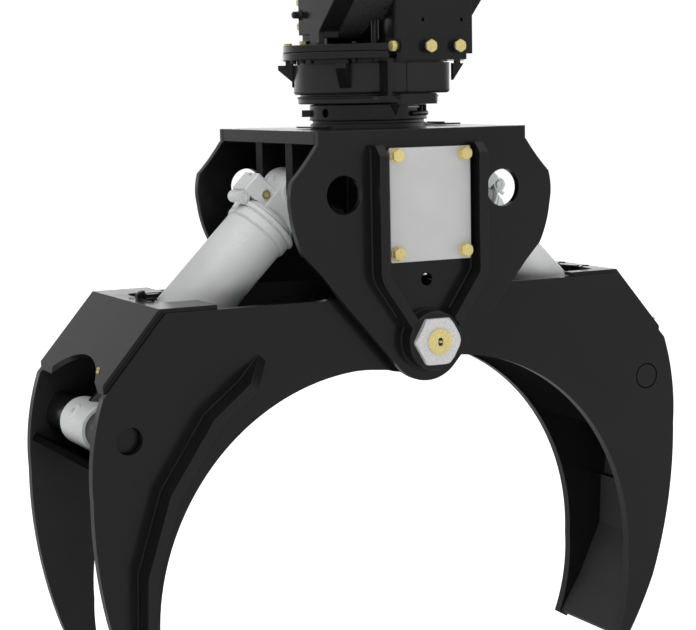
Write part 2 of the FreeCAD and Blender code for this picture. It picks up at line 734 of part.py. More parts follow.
st, sh = D["side_rib_thick"], D["side_rib_height"]
inner_line = offset_line(line, st)
WL = D["wide_arm_half"]
bars = []
for face in ("front", "rear"):
    b_ = new_body("arm_bar_%s" % face)
    g = mirror_geo(poly(line + inner_line[::-1]))
    off = WL if face == "front" else -(WL + sh)
    ex = "Dims.wide_arm_half" if face == "front" else "-Dims.wide_arm_half - Dims.side_rib_height"
    sk = sketch_on(b_, "XZ_Plane", off, g, (), ex)
    pad(b_, sk, sh, "Dims.side_rib_height")
    doc.recompute()
    q = -1 if face == "front" else 1
    tools = []
    for (e0, e1) in ((line[0], line[1]), (line[-1], line[-2])):
        ev = V(-e0[0], 0, e0[1])
        tv = (V(-e1[0], 0, e1[1]) - ev).normalize()
        run = 78.0
        side_v = V(0, 1, 0).cross(tv)
        yb = q * WL
        yt = q * (WL + sh)
        c0 = ev + V(0, yb + q * 3, 0) - tv * 20
        c1 = ev + V(0, yb + q * 3, 0)
        c2 = ev + V(0, yt, 0) + tv * run
        c3 = ev + V(0, yt + q * 5, 0) + tv * run
        c4 = ev + V(0, yt + q * 5, 0) - tv * 20
        f = Part.Face(Part.makePolygon([c0 - side_v * 80, c1 - side_v * 80, c2 - side_v * 80, c3 - side_v * 80, c4 - side_v * 80, c0 - side_v * 80]))
        tools.append(solid(f.extrude(side_v * 160)))
    bars.append(cut(b_, *tools))
bg_ = group(*bars)
lower(bg_)
keep("left_arm_side_bars", bg_)

# back plate of the narrow arm: three flats down to the chisel tip, and the
# thinner closing plate above it
bt = D["back_thick"]
inner_pts = [(848, -532), (842, -679), (771, -823), (703, -930)]
outer_pts = [(846 + 17, -532), (856, -682), (784, -829), (712, -941)]
geo = poly(inner_pts + outer_pts[::-1])
bk = across("right_back", geo, D["narrow_arm_half"] - D["arm_plate_thick"], "Dims.narrow_arm_half - Dims.arm_plate_thick")
geo2 = poly([(879, -262), (887, -262), (884, -400), (866, -530), (858, -530), (876, -400)])
bk2 = across("right_back_upper", geo2, D["narrow_arm_half"] - D["arm_plate_thick"], "Dims.narrow_arm_half - Dims.arm_plate_thick")
doc.recompute()
bkg = group(bk, bk2)
lower(bkg)
keep("right_arm_back_plates", bkg)

# ================================================================ CYLINDERS
dx, dz = px - bx, bz - pz
L0 = math.hypot(dx, dz)
for side, s in (("left", -1), ("right", 1)):
    alpha = math.degrees(math.atan2(s * dx, -dz))
    rot = Rotation(V(0, 1, 0), alpha)
    base = (s * bx, 0, bz)
    o = -s                     # local X sign of the outer (upper) side
    # barrel: tube, end collar and base cap turned in one profile, base eye
    b_ = new_body("%s_barrel_tube" % side)
    R_, rb_, rc_, ze = D["barrel_radius"], D["barrel_bore"], D["collar_radius"], D["barrel_end"]
    rs_ = rc_ - 5.5
    prof = [(0, 98), (R_ - 6, 98), (R_, 104), (R_, 110), (rc_ - 3, 111), (rc_, 114), (rc_, 120), (rc_ - 3, 123),
            (R_ + 1.5, 124.5), (R_ + 1.5, 127), (rs_ - 2, 128), (rs_, 130), (rs_, 150), (rs_ - 2, 152),
            (R_, 153), (R_, ze), (rb_, ze), (rb_, 130), (0, 130)]
    sk = sketch_on(b_, "XZ_Plane", 0, poly(prof))
    rv = b_.newObject("PartDesign::Revolution", "%s_rev" % side)
    rv.Profile = sk
    rv.ReferenceAxis = (sk, ["V_Axis"])
    rv.Angle = 360
    b_.Tip = rv
    doc.recompute()
    eye = cyl(D["base_eye_radius"], 2 * D["base_eye_half"], (0, -D["base_eye_half"], 0), "y", "Dims.base_eye_radius")
    neck = solid(Part.makeLoft([Part.makePolygon([V(-50, -60, 0), V(50, -60, 0), V(50, 60, 0), V(-50, 60, 0), V(-50, -60, 0)]),
                                Part.makePolygon([V(-50, -62, 99), V(50, -62, 99), V(50, 62, 99), V(-50, 62, 99), V(-50, -62, 99)])], True))
    ears = [solid(Part.makeCylinder(D["base_eye_radius"] + 4, 9, V(0, y_, 0), V(0, 1, 0))) for y_ in (-58, 49)]
    seat = solid(Part.makeBox(30, 82, 27, V(R_ + 0.8 if o > 0 else -R_ - 30.8, -41, 107)))
    whole = cut(fuse(b_, eye, neck, *ears), cyl(30.06, 140, (0, -70, 0), "y", "Dims.base_pin_radius + 0.06"), seat)
    lower(whole, base, rot)
    keep("%s_cylinder_barrel" % side, whole)
    # gland screwed into the open end
    gl = cut(fuse(cyl(R_, 15, (0, 0, ze), "z", "Dims.barrel_radius"), cyl(rb_ - 0.05, 36, (0, 0, ze - 35), "z", "Dims.barrel_bore - 0.05")),
             cyl(D["rod_radius"] + 0.06, 60, (0, 0, ze - 40), "z", "Dims.rod_radius + 0.06"))
    gl = chamfer_all(gl, 3.0, lambda e: abs(e.BoundBox.ZMin - ze - 15) < 0.01 and e.BoundBox.ZLength < 0.01 and e.BoundBox.XLength > 150)
    lower(gl, base, rot)
    keep("%s_cylinder_gland" % side, gl)
    # port block on the upper side of the base: notched on its base side, a
    # union lying across its rod side and a ringed plug in each end face
    bl0 = 50.2
    blk = chamfer_all(solid(Part.makeBox(65, 84, 58, V(bl0 if o > 0 else -bl0 - 65, -42, 42))), 3.0)
    doc.recompute()
    blk = cut(blk, cyl(R_ + 0.3, 60, (0, 0, 97), "z"),
              solid(Part.makeBox(22, 17, 12.5, V(94 if o > 0 else -116, -8.5, 41))))
    un = [Part.makeCylinder(16.5, 63, V(o * 103, -38, 116), V(0, 1, 0)).fuse(
        [Part.makeCylinder(17.9, 9, V(o * 103, -38, 116), V(0, 1, 0)),
         Part.makeBox(12, 46, 18, V(o * 103 - 6, -25, 98))]).removeSplitter()]
    for yy, d in ((-42, V(0, -1, 0)), (42, V(0, 1, 0))):
        un.append(Part.makeCylinder(12.5, 2.5, V(o * 63.5, yy, 71), d).fuse(
            Part.makeCylinder(9.5, 6, V(o * 63.5, yy, 71), d)).cut(Part.makeCylinder(4.5, 8, V(o * 63.5, yy, 71) + d * 3.5, d)).removeSplitter())
    blkf = fuse(blk, *[solid(u) for u in un])
    lower(blkf, base, rot)
    keep("%s_cylinder_port_block" % side, blkf)
    # rod with its piston
    z1 = L0 - 62.2
    rod = fuse(cyl(D["rod_radius"], D["rod_length"], (0, 0, z1 - D["rod_length"]), "z", "Dims.rod_radius"),
               cyl(rb_ - 0.3, 45, (0, 0, z1 - D["rod_length"] - 44), "z", "Dims.barrel_bore - 0.3"))
    lower(rod, base, rot)
    keep("%s_cylinder_rod" % side, rod)
    # rod eye screwed on the rod; its bore is opened out for the linkage
    e1 = cyl(D["rod_eye_radius"], 2 * D["rod_eye_half"], (0, -D["rod_eye_half"], L0), "y", "Dims.rod_eye_radius")
    e2 = cyl(50, 60, (0, 0, L0 - 80), "z")
    e3 = chamfer_all(fuse(e1, e2), 3.0, lambda e: (e.BoundBox.YLength < 0.01 and e.BoundBox.XLength > 60) or (e.BoundBox.ZLength < 0.01 and e.BoundBox.XLength > 60))
    ey = cut(e3, cyl(D["rod_radius"] + 0.05, 24, (0, 0, L0 - 86), "z", "Dims.rod_radius + 0.05"),
             cyl(D["rod_eye_bore"], 200, (0, -100, L0), "y", "Dims.rod_eye_bore"))
    lower(ey, base, rot)
    keep("%s_cylinder_rod_eye" % side, ey)

# ================================================================ ROTATOR
# rotor: lower flange and collar bolted to the head, shaft up into the housing
b = new_body("rotor_hub")
RR, SR = D["rotor_radius"], D["shaft_radius"]
prof = [(0, 502.5), (59.9, 502.5), (59.9, 534), (RR, 534), (RR, 545), (RR - 6, 547), (RR - 6, 553), (RR + 1, 555), (RR + 1, 594), (RR - 3, 596),
        (SR + 12, 596), (SR + 12, 597), (SR, 597), (SR, 690), (0, 690)]
sk = sketch_on(b, "XZ_Plane", 0, poly(prof))
rv = b.newObject("PartDesign::Revolution", "rotor_rev")
rv.Profile = sk
rv.ReferenceAxis = (sk, ["V_Axis"])
rv.Angle = 360
b.Tip = rv
doc.recompute()
tab = Part.makeBox(28, 40, 18, V(148, -20, 564))
tab.rotate(V(0, 0, 0), V(0, 0, 1), 155)
tabs = [solid(tab), solid(Part.makeBox(40, 100, 4, V(-188, -50, 536))),
        solid(Part.makeBox(108, 90, 4, V(150, -45, 536))), solid(Part.makeBox(22, 60, 8, V(196, -30, 536)))]
ha = math.radians(196)
hub = cut(fuse(b, *tabs), solid(Part.makeCylinder(11.5, 24, V(138 * math.cos(ha), 138 * math.sin(ha), 574),
                                                  V(math.cos(ha), math.sin(ha), 0))))
lower(hub)
keep("rotor_hub", hub)


def gear_shape(teeth, pitch_r, module, z0, z1, bore, phase_deg, slack=0.35):
    """Spur gear with straight-flanked teeth, thinned for backlash."""
    ro, ri = pitch_r + 0.85 * module, pitch_r - 1.15 * module
    step = 2 * math.pi / teeth
    pts = []
    half_p = step / 4 - slack / pitch_r
    tip_h = half_p - math.tan(math.radians(20)) * (ro - pitch_r) / pitch_r
    root_h = half_p + math.tan(math.radians(20)) * (pitch_r - ri) / pitch_r
    ph = math.radians(phase_deg)
    for k in range(teeth):
        c = ph + k * step
        for a, r in ((c - root_h, ri), (c - tip_h, ro), (c + tip_h, ro), (c + root_h, ri)):
            pts.append(V(r * math.cos(a), r * math.sin(a), z0))
    pts.append(pts[0])
    s = Part.Face(Part.makePolygon(pts)).extrude(V(0, 0, z1 - z0))
    if bore:
        s = s.cut(Part.makeCylinder(bore, z1 - z0 + 2, V(0, 0, z0 - 1)))
    return s


GM = 5.0
gx, gy = 75.0, -118.2
cd = math.hypot(gx, gy)
ga = math.degrees(math.atan2(gy, gx))
gp = D["gear_pitch_radius"]
gz0 = 668.0
g_ = solid(gear_shape(44, gp, GM, gz0, gz0 + D["gear_face"], SR + 0.05, ga))
lower(g_)
keep("rotor_gear", g_)
pn = gear_shape(12, D["pinion_pitch_radius"], GM, gz0 - 1, gz0 + D["gear_face"] + 1, 0, ga + 180 + 15)
pn = pn.fuse(Part.makeCylinder(16, 68, V(0, 0, gz0 + 20))).fuse(Part.makeCylinder(12, 34.5, V(0, 0, gz0 - 29.5))).removeSplitter()
pno = solid(pn)
lower(pno, (gx, gy, 0))
keep("drive_pinion", pno)

# housing: round with a squared lobe around the pinion
HRd = D["housing_radius"]


def lobed_solid(rad, z0, z1, **k):
    s = Part.makeCylinder(rad, z1 - z0, V(0, 0, z0)).fuse(
        Part.Face(Part.Wire([g.toShape() for g in poly([(k.get("left", -28), k.get("bottom", -202)), (k.get("right", 146), k.get("bottom", -202)),
                                                        (k.get("right", 146) + 8, 0), (k.get("left", -28), 0)], [12, 36, 0, 0])])
                  ).extrude(V(0, 0, z1 - z0)).translated(V(0, 0, z0)))
    return s.removeSplitter()


hz0, hz1 = 622.0, 622.0 + D["housing_depth"]
hs = lobed_solid(HRd, hz0, hz1, left=5)
cav = Part.makeCylinder(158, 60, V(0, 0, 646)).fuse(Part.makeCylinder(46, 60, V(gx, gy, 646)))
hs = hs.removeSplitter()
low = [e for e in hs.Edges if e.BoundBox.ZMax < hz0 + 0.01]
for rad_ in (8.0, 5.0):
    try:
        hs2 = hs.makeFillet(rad_, low)
        if hs2.isValid() and hs2.Volume > 0.9 * hs.Volume:
            hs = hs2
            print("housing edge radius", rad_)
            break
    except Part.OCCError:
        pass
hs = hs.cut(cav).cut(Part.makeCylinder(SR + 14, 40, V(0, 0, 616))).cut(Part.makeCylinder(12.06, 20, V(gx, gy, 638)))
ho = solid(hs.removeSplitter())
lower(ho)
keep("rotator_housing", ho)

# stationary seal carrier under the housing, with a squared lobe in front
b = new_body("seal_carrier_ring")
S_ = D["seal_ring_radius"]
prof = [(SR + 12.3, 597.5), (S_ - 3, 597.5), (S_, 600), (S_, 611), (S_ + 3, 613), (S_ + 3, 616), (S_ - 6, 618), (S_ - 6, 622),
        (SR + 12.3, 622)]
sk = sketch_on(b, "XZ_Plane", 0, poly(prof))
rv = b.newObject("PartDesign::Revolution", "seal_rev")
rv.Profile = sk
rv.ReferenceAxis = (sk, ["V_Axis"])
rv.Angle = 360
b.Tip = rv
doc.recompute()
lobe = Part.Face(Part.Wire([g.toShape() for g in poly([(-14, -193), (107, -193), (107, -90), (-14, -90)], [17, 17, 0, 0])])
                 ).extrude(V(0, 0, 27)).translated(V(0, 0, 594)).cut(Part.makeCylinder(160, 40, V(0, 0, 590)))
sc = fuse(b, solid(lobe))
lower(sc)
keep("seal_carrier_ring", sc)

# shaft bearing inside the housing, under the gear
br = ring(110, SR + 0.06, 20, (0, 0, 646.1), "z", None, "Dims.shaft_radius + 0.06")
lower(br)
keep("rotor_bearing", br)


def lid_geo(r):
    """Round plate with a flat front edge and a straight right side."""
    yf = -205.0
    x1 = -math.sqrt(r * r - yf * yf)
    xr = 204.0
    y1 = math.sqrt(r * r - xr * xr)
    return path((x1, yf), ("L", (-50, yf)), ("L", (-50, -176)), ("L", (-4, -176)), ("L", (-4, -193)), ("L", (182, -193)), ("L", (xr, -150)), ("L", (xr, y1)),
                ("A", (-r * math.cos(math.radians(40)), r * math.sin(math.radians(40))), (x1, yf)))


b = new_body("rotator_top_flange")
sk = sketch_on(b, "XY_Plane", 711, lid_geo(224.0), [(gx, gy, 24, None)])
p = pad(b, sk, D["flange_thick"], "Dims.flange_thick")
chamfer_faces(b, p, 2.0, V(0, 0, 1))
spig = lobed_solid(187.0, 700, 712, left=-22, bottom=-190, right=138).cut(Part.makeCylinder(24, 20, V(gx, gy, 696)))
tf = fuse(b, solid(spig))
lower(tf)
keep("rotator_top_flange", tf)
b = new_body("hanger_base_plate")
sk = sketch_on(b, "XY_Plane", 731, lid_geo(223.0), [(gx, gy, 30, None)])
p = pad(b, sk, D["base_plate_thick"], "Dims.base_plate_thick")
chamfer_faces(b, p, 2.0, V(0, 0, 1))
bpl = fuse(b, solid(Part.makeCylinder(6, 6, V(-116, -149, 749.5), V(0, 0, 1))))
lower(bpl)
keep("hanger_base_plate", bpl)

# ================================================================ HANGER
# left cheek: plate square to X whose front edge steps forward as it rises,
# notched at its foot, with a heavier bar behind it; rear leg: a plainer
# plate behind the motor box
b = new_body("hanger_left_cheek")
sk = sketch_on(b, "YZ_Plane", -190.0, poly([(-46, 750), (-46, 776), (21, 776), (21, 905), (-198, 905), (-198, 868), (-97, 783),
                                            (-96, 750)], [0, 4, 0, 0, 0, 16, 12, 0]))
p = pad(b, sk, D["cheek_thick"], "Dims.cheek_thick")
chamfer_faces(b, p, 1.5, V(1, 0, 0))
doc.recompute()
bar_ = Part.Face(Part.Wire([g.toShape() for g in poly([(-89, 767), (21, 767), (21, 905), (-192, 905), (-192, 871), (-90, 786)],
                                                      [0, 0, 0, 0, 16, 12])]))
bar_ = bar_.extrude(V(0, 0, 44))
bar_.Placement = Placement(V(-174.2, 0, 0), Rotation(V(0, 1, 0), V(0, 0, 1), V(1, 0, 0)))
lock = Part.makeCylinder(8.5, 26, V(-210, 8, 828), V(1, 0, 0)).fuse([Part.makeCone(9, 12, 8, V(-198, 8, 828), V(1, 0, 0)),
                                                                  Part.makeCylinder(6.5, 4, V(-213, 8, 828), V(1, 0, 0))]).removeSplitter()
ck = fuse(b, solid(bar_), solid(lock), solid(Part.makeBox(17, 68, 28, V(-148, 16, 750))))
lower(ck)
keep("hanger_left_cheek", ck)
b = new_body("hanger_rear_leg")
sk = sketch_on(b, "YZ_Plane", 22.0, poly([(70, 750), (70, 905), (-34, 905), (-34, 750)], [0, 0, 0, 0]))
p = pad(b, sk, 30)
chamfer_faces(b, p, 1.5, V(1, 0, 0))
lower(b)
keep("hanger_rear_leg", b)

# web between cheek and motor box: a plate folded to follow the cheek's front
# edge, arched at its foot, with the fitting of the turning line behind it
web = prism(poly([(-77, 766), (-191, 864), (-191, 904.9), (-177, 904.9), (-177, 870), (-66, 775), (-66, 766)], [0, 16, 0, 0, 4, 0, 0]),
            (0, 0, 0), 109.6, "z")
web.Placement = Placement(V(-129.8, 0, 0), Rotation(V(0, 1, 0), V(0, 0, 1), V(1, 0, 0)))
arch = prism(path((-58.5, 740), ("L", (-58.5, 766)), ("L", (-53, 801)), ("A", (-40, 815.5), (-24, 811)), ("L", (-19, 807)), ("L", (-19, 740))),
             (0, -30, 0), 180, "-y")
slot_ = Part.makeCylinder(4.5, 60, V(-32, -160, 838), V(0, -0.652, -0.758)).fuse(
    [Part.makeCylinder(4.5, 60, V(-23, -141, 819), V(0, -0.652, -0.758))])
slot_.translate(V(0, 0.652 * 30, 0.758 * 30))
fit_ = Part.makeCylinder(9.5, 12, V(-30.5, -100, 750.1)).fuse([Part.makeCylinder(8, 80, V(-30.5, -100, 762))])
wb = group(cut(web, arch, solid(slot_)), solid(fit_.removeSplitter()))
lower(wb)
keep("hanger_arch_web", wb)

# side gusset on the right of the motor box
gsd = group(prism(poly([(200.1, 757), (305.6, 904.9), (200.1, 904.9)], [0, 0, 0]), (0, -70, 0), 60, "-y"))
lower(gsd)
keep("hanger_right_gusset", gsd)

# crosshead: beam over the cheeks with two upright lugs, bore along X
lw, lg = D["hanger_lug_width"], D["hanger_lug_gap"]
beam = chamfer_all(solid(Part.Face(Part.Wire([g.toShape() for g in poly([(-190, -198), (320, -198), (320, 75), (-190, 75)], [40, 60, 40, 40])])
                            ).extrude(V(0, 0, 34)).translated(V(0, 0, 905))), 4.0)
lugs = []
for s in (-1, 1):
    x0 = s * lg / 2 if s > 0 else -lg / 2 - lw
    f = Part.Face(Part.Wire([g.toShape() for g in path((-90, 936), ("L", (-60, H - 16)), ("A", (0, H + D["hanger_lug_radius"]), (60, H - 16)), ("L", (74, 936)))]))
    e = f.extrude(V(0, 0, lw))
    e.Placement = Placement(V(x0, 0, 0), Rotation(V(0, 1, 0), V(0, 0, 1), V(1, 0, 0)))
    lugs.append(solid(e))
ch_ = cut(fuse(beam, *lugs), cyl(38, 300, (-150, 0, H), "x"))
lower(ch_)
keep("hanger_crosshead", ch_)
hb = group(ring(37.95, D["hanger_bore_radius"], lw, (-lg / 2 - lw, 0, H), "x", None, "Dims.hanger_bore_radius"),
           ring(37.95, D["hanger_bore_radius"], lw, (lg / 2, 0, H), "x", None, "Dims.hanger_bore_radius"))
lower(hb)
keep("hanger_lug_bushes", hb)

# motor box: open-bottomed box around the hydraulic motor
mb = solid(Part.Face(Part.Wire([g.toShape() for g in poly([(-20, -193), (200, -193), (200, -61.1), (-20, -61.1)], [12, 0, 0, 0])])).extrude(V(0, 0, 154.8)).translated(V(0, 0, 750.1)))
mi = solid(Part.Face(Part.Wire([g.toShape() for g in poly([(-6, -181), (186, -181), (186, -75), (-6, -75)], [4, 0, 0, 0])])).extrude(V(0, 0, 143)).translated(V(0, 0, 749)))
mbx = fuse(cut(mb, mi), solid(Part.makeBox(14, 14, 30, V(-20, -193, 724)).fuse(Part.makeCylinder(17, 3.5, V(-20, -196, 742), V(-1, 0, 0))).removeSplitter()))
lower(mbx)
keep("hanger_motor_box", mbx)
b = new_body("hanger_front_cover")
sk = sketch_on(b, "XZ_Plane", 193.1, poly([(-20, 706), (182, 706), (182, 721), (200, 721), (200, 904.8), (-20, 904.8)], [0, 3, 0, 3, 3, 0]),
               [(53, 808, 5, None), (168, 808, 5, None), (66, 741, 10.1, None), (152, 741, 10.1, None)])
p = pad(b, sk, 12)
doc.recompute()
cov = chamfer_all(b, 9.0, lambda e: e.BoundBox.YLength < 0.01 and abs(e.BoundBox.YMin + 205.1) < 0.01 and abs(e.BoundBox.XMax + 20) < 0.01)
bosses = [solid(Part.makeCylinder(18, 14.1, V(x, -205, 741), V(0, -1, 0)).cut(Part.makeCylinder(10.1, 20, V(x, -203, 741), V(0, -1, 0)))) for x in (66, 152)]
cov = fuse(cov, *bosses)
lower(cov)
keep("hanger_front_cover", cov)
hbolts = []
# two screws on the bosses of the cover's foot, one at the corner
for x in (66, 152):
    hbolts.append(hex_bolt((x, -219.2, 741), "-y", af=30, head=6, washer=14, shank=25))
hbolts.append(hex_bolt((-23.6, -196, 742), "-x", af=26, head=10, washer=12.5, shank=0))
# two in the cheek's rear edge, two on the base plate beside its foot, studs round the rim
for zz in (799, 861):
    hbolts.append(hex_bolt((-178, 21.1, zz), "y", af=22, head=9, washer=12, shank=0))
hbolts.append(hex_bolt((-158, 57, 750), "z", af=20, head=9.0, washer=9.9, shank=0))
hbolts.append(hex_bolt((-161, 146, 750), "z", af=19, head=5, washer=11, shank=0))
for ang in (104, 80, 56, 32):
    hbolts.append(hex_bolt((196 * math.cos(math.radians(ang)), 196 * math.sin(math.radians(ang)), 750), "z", af=19, head=11, washer=12, shank=0))
hbg = group(*hbolts)
lower(hbg)
keep("hanger_bolts", hbg)

# hydraulic motor standing on the base plate over the pinion
m1 = Part.makeCylinder(40, 14, V(gx, gy, 750)).fuse([Part.makeCylinder(36, 76, V(gx, gy, 764)), Part.makeBox(78, 66, 30, V(gx - 39, gy - 33, 840))])
m1 = m1.cut(Part.makeCylinder(16.06, 12, V(gx, gy, 749))).removeSplitter()
mo = solid(m1)
lower(mo)
keep("hydraulic_motor", mo)

# hose manifold behind the cheeks, four threaded port adapters standing on it
mfp = [chamfer_all(solid(Part.makeBox(150, 62, 70, V(-75, 84, 750))), 2.5)]
for i in range(4):
    xa = -54 + 36 * i
    ad = fuse(prism(hexagon(30, corner=1.5), (xa, 115, 820.05), 11, "z"), cyl(13.5, 23.95, (xa, 115, 820.05), "z"))
    mfp.append(cut(ad, cyl(10.2, 28, (xa, 115, 818), "z")))
mfo = group(*mfp)
lower(mfo)
keep("port_manifold", mfo)

# gusset ears and the hose bracket around the housing
gs = []
for ang in (152, 225, 80, 8):
    zt = 656 if ang == 152 else 638
    pts = [(195, 710.8), (216, 710.8), (216, 700), (236, 700), (236, 688), (199, zt), (195, zt)]
    f = Part.Face(Part.makePolygon([V(x, 0, z) for x, z in pts] + [V(pts[0][0], 0, pts[0][1])]))
    e = f.extrude(V(0, 28, 0))
    e.translate(V(0, -14, 0))
    e.rotate(V(0, 0, 0), V(0, 0, 1), ang)
    e = e.cut(Part.makeCylinder(196.15, 80, V(0, 0, 620))).cut(Part.makeCylinder(187.1, 30, V(0, 0, 690)))
    gs.append(solid(e))
# pointed plate hanging from the flange at the right
f = Part.Face(Part.makePolygon([V(171, 0, 698), V(203, 0, 697), V(171, 0, 654), V(171, 0, 698)])).extrude(V(0, 12, 0)).translated(V(0, -156, 0))
f = f.fuse(Part.makeBox(13, 12, 14.3, V(180, -156, 696.5))).removeSplitter()
gs.append(solid(f))
# bar with a clamp hole, standing on the front of the housing
f = Part.makeBox(11, 45, 98, V(-65, -230, 608)).fuse(Part.makeBox(49, 32, 9, V(-97, -230, 607)))
f = f.cut(Part.makeCylinder(196.15, 200, V(0, 0, 590)))
f = f.cut(Part.makeCylinder(5.5, 40, V(-80, -214, 635), V(1, 0, 0)))
gs.append(solid(f.removeSplitter()))
gsg = group(*gs)
lower(gsg)
keep("housing_gussets", gsg)

# ================================================================ CHECK AND WRITE
doc.recompute()
bad = [o.Name for o in doc.Objects if ("Invalid" in o.State or "Error" in o.State)]
if bad:
    raise SystemExit("failed objects: %s" % bad)
os.makedirs("parts", exist_ok=True)
labels = [l for l, _ in NODES]
if len(set(labels)) != len(labels) or len(labels) > 60:
    raise SystemExit("node names repeat or too many")
for label, o in NODES:
    sh_ = o.Shape
    if sh_.isNull() or not sh_.isValid() or not sh_.Solids:
        raise SystemExit("bad shape: " + label)
    sh_.exportStep(os.path.join("parts", label + ".step"))
    bb = sh_.BoundBox
    print("%-28s solids %2d  x %7.1f %7.1f  y %7.1f %7.1f  z %8.1f %8.1f  vol %.0f cm3" % (
        label, len(sh_.Solids), bb.XMin, bb.XMax, bb.YMin, bb.YMax, bb.ZMin + H, bb.ZMax + H, sh_.Volume / 1000))
print("nodes", len(NODES))
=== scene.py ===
import bpy
import bmesh
import json
import math
from mathutils import Vector, Matrix, Quaternion


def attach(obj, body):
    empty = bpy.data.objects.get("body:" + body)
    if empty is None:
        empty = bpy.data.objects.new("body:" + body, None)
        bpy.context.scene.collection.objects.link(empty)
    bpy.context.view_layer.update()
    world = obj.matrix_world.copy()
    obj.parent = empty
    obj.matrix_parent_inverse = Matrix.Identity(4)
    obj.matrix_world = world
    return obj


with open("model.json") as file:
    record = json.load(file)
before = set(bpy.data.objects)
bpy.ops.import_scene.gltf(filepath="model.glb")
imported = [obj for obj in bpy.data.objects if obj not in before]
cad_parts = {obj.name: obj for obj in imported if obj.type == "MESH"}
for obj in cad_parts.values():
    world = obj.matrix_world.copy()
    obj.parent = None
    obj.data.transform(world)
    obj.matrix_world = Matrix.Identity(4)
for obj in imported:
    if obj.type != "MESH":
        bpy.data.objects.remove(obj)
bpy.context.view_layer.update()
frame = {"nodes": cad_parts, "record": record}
scene = bpy.context.scene
NODES = frame["nodes"]
H = 1.010          # hanger bore above the main pin, metres


def W(x, y, z):
    """Millimetres from the main pin centre to the part's own frame in metres."""
    return Vector((x / 1000.0, y / 1000.0, z / 1000.0 - H))


# ------------------------------------------------------------------ node helper
class Tree:
    def __init__(self, name):
        self.mat = bpy.data.materials.new(name)
        self.mat.use_nodes = True
        self.nt = self.mat.node_tree
        self.nt.nodes.clear()
        self.out = self.add("ShaderNodeOutputMaterial")
        self.bsdf = self.add("ShaderNodeBsdfPrincipled")
        self.link(self.bsdf, "BSDF", self.out, "Surface")
        self.co = self.add("ShaderNodeTexCoord")

    def add(self, kind, **props):
        n = self.nt.nodes.new(kind)
        for k, v in props.items():
            setattr(n, k, v)
        return n

    def link(self, a, ao, b, bi):
        self.nt.links.new(a.outputs[ao], b.inputs[bi])

    def setv(self, node, **vals):
        for k, v in vals.items():
            node.inputs[k.replace("_", " ")].default_value = v

    def noise(self, scale, detail=4.0, rough=0.55, src=None, dim="3D"):
        n = self.add("ShaderNodeTexNoise")
        n.noise_dimensions = dim
        n.inputs["Scale"].default_value = scale
        n.inputs["Detail"].default_value = detail
        n.inputs["Roughness"].default_value = rough
        if src is None:
            self.link(self.co, "Object", n, "Vector")
        else:
            self.nt.links.new(src, n.inputs["Vector"])
        return n

    def stretch(self, sx, sy, sz, rot=(0, 0, 0)):
        m = self.add("ShaderNodeMapping")
        m.inputs["Scale"].default_value = (sx, sy, sz)
        m.inputs["Rotation"].default_value = rot
        self.link(self.co, "Object", m, "Vector")
        return m.outputs["Vector"]

    def ramp(self, src, stops):
        r = self.add("ShaderNodeValToRGB")
        while len(r.color_ramp.elements) > 1:
            r.color_ramp.elements.remove(r.color_ramp.elements[-1])
        for i, (p, c) in enumerate(stops):
            e = r.color_ramp.elements[0] if i == 0 else r.color_ramp.elements.new(p)
            e.position = p
            e.color = (c[0], c[1], c[2], 1) if isinstance(c, (tuple, list)) else (c, c, c, 1)
        self.nt.links.new(src, r.inputs["Fac"])
        return r.outputs["Color"]

    def span(self, src, a, b, c, d):
        m = self.add("ShaderNodeMapRange")
        m.inputs["From Min"].default_value = a
        m.inputs["From Max"].default_value = b
        m.inputs["To Min"].default_value = c
        m.inputs["To Max"].default_value = d
        self.nt.links.new(src, m.inputs["Value"])
        return m.outputs["Result"]

    def math(self, op, a, b=None):
        m = self.add("ShaderNodeMath")
        m.operation = op
        for i, v in enumerate((a, b)):
            if v is None:
                continue
            if isinstance(v, (int, float)):
                m.inputs[i].default_value = v
            else:
                self.nt.links.new(v, m.inputs[i])
        return m.outputs[0]

    def mix(self, fac, a, b):
        m = self.add("ShaderNodeMix")
        m.data_type = "RGBA"
        for sock, v in ((m.inputs[0], fac), (m.inputs[6], a), (m.inputs[7], b)):
            if isinstance(v, (int, float)):
                sock.default_value = v
            elif isinstance(v, (tuple, list)):
                sock.default_value = (v[0], v[1], v[2], 1)
            else:
                self.nt.links.new(v, sock)
        return m.outputs[2]

    def bevel(self, radius):
        b = self.add("ShaderNodeBevel")
        b.samples = 4
        b.inputs["Radius"].default_value = radius
        return b

    def edge_mask(self, bev, lo=0.02, hi=0.25):
        g = self.add("ShaderNodeNewGeometry")
        d = self.add("ShaderNodeVectorMath")
        d.operation = "DOT_PRODUCT"
        self.link(bev, "Normal", d, 0)
        self.link(g, "Normal", d, 1)
        inv = self.math("SUBTRACT", 1.0, d.outputs["Value"])
        return self.span(inv, lo, hi, 0.0, 1.0)

    def bump(self, height, strength, dist, normal=None):
        b = self.add("ShaderNodeBump")
        b.inputs["Strength"].default_value = strength
        b.inputs["Distance"].default_value = dist
        self.nt.links.new(height, b.inputs["Height"])
        if normal is not None:
            self.nt.links.new(normal, b.inputs["Normal"])
        return b.outputs["Normal"]

    def to(self, name, src):
        self.nt.links.new(src, self.bsdf.inputs[name])


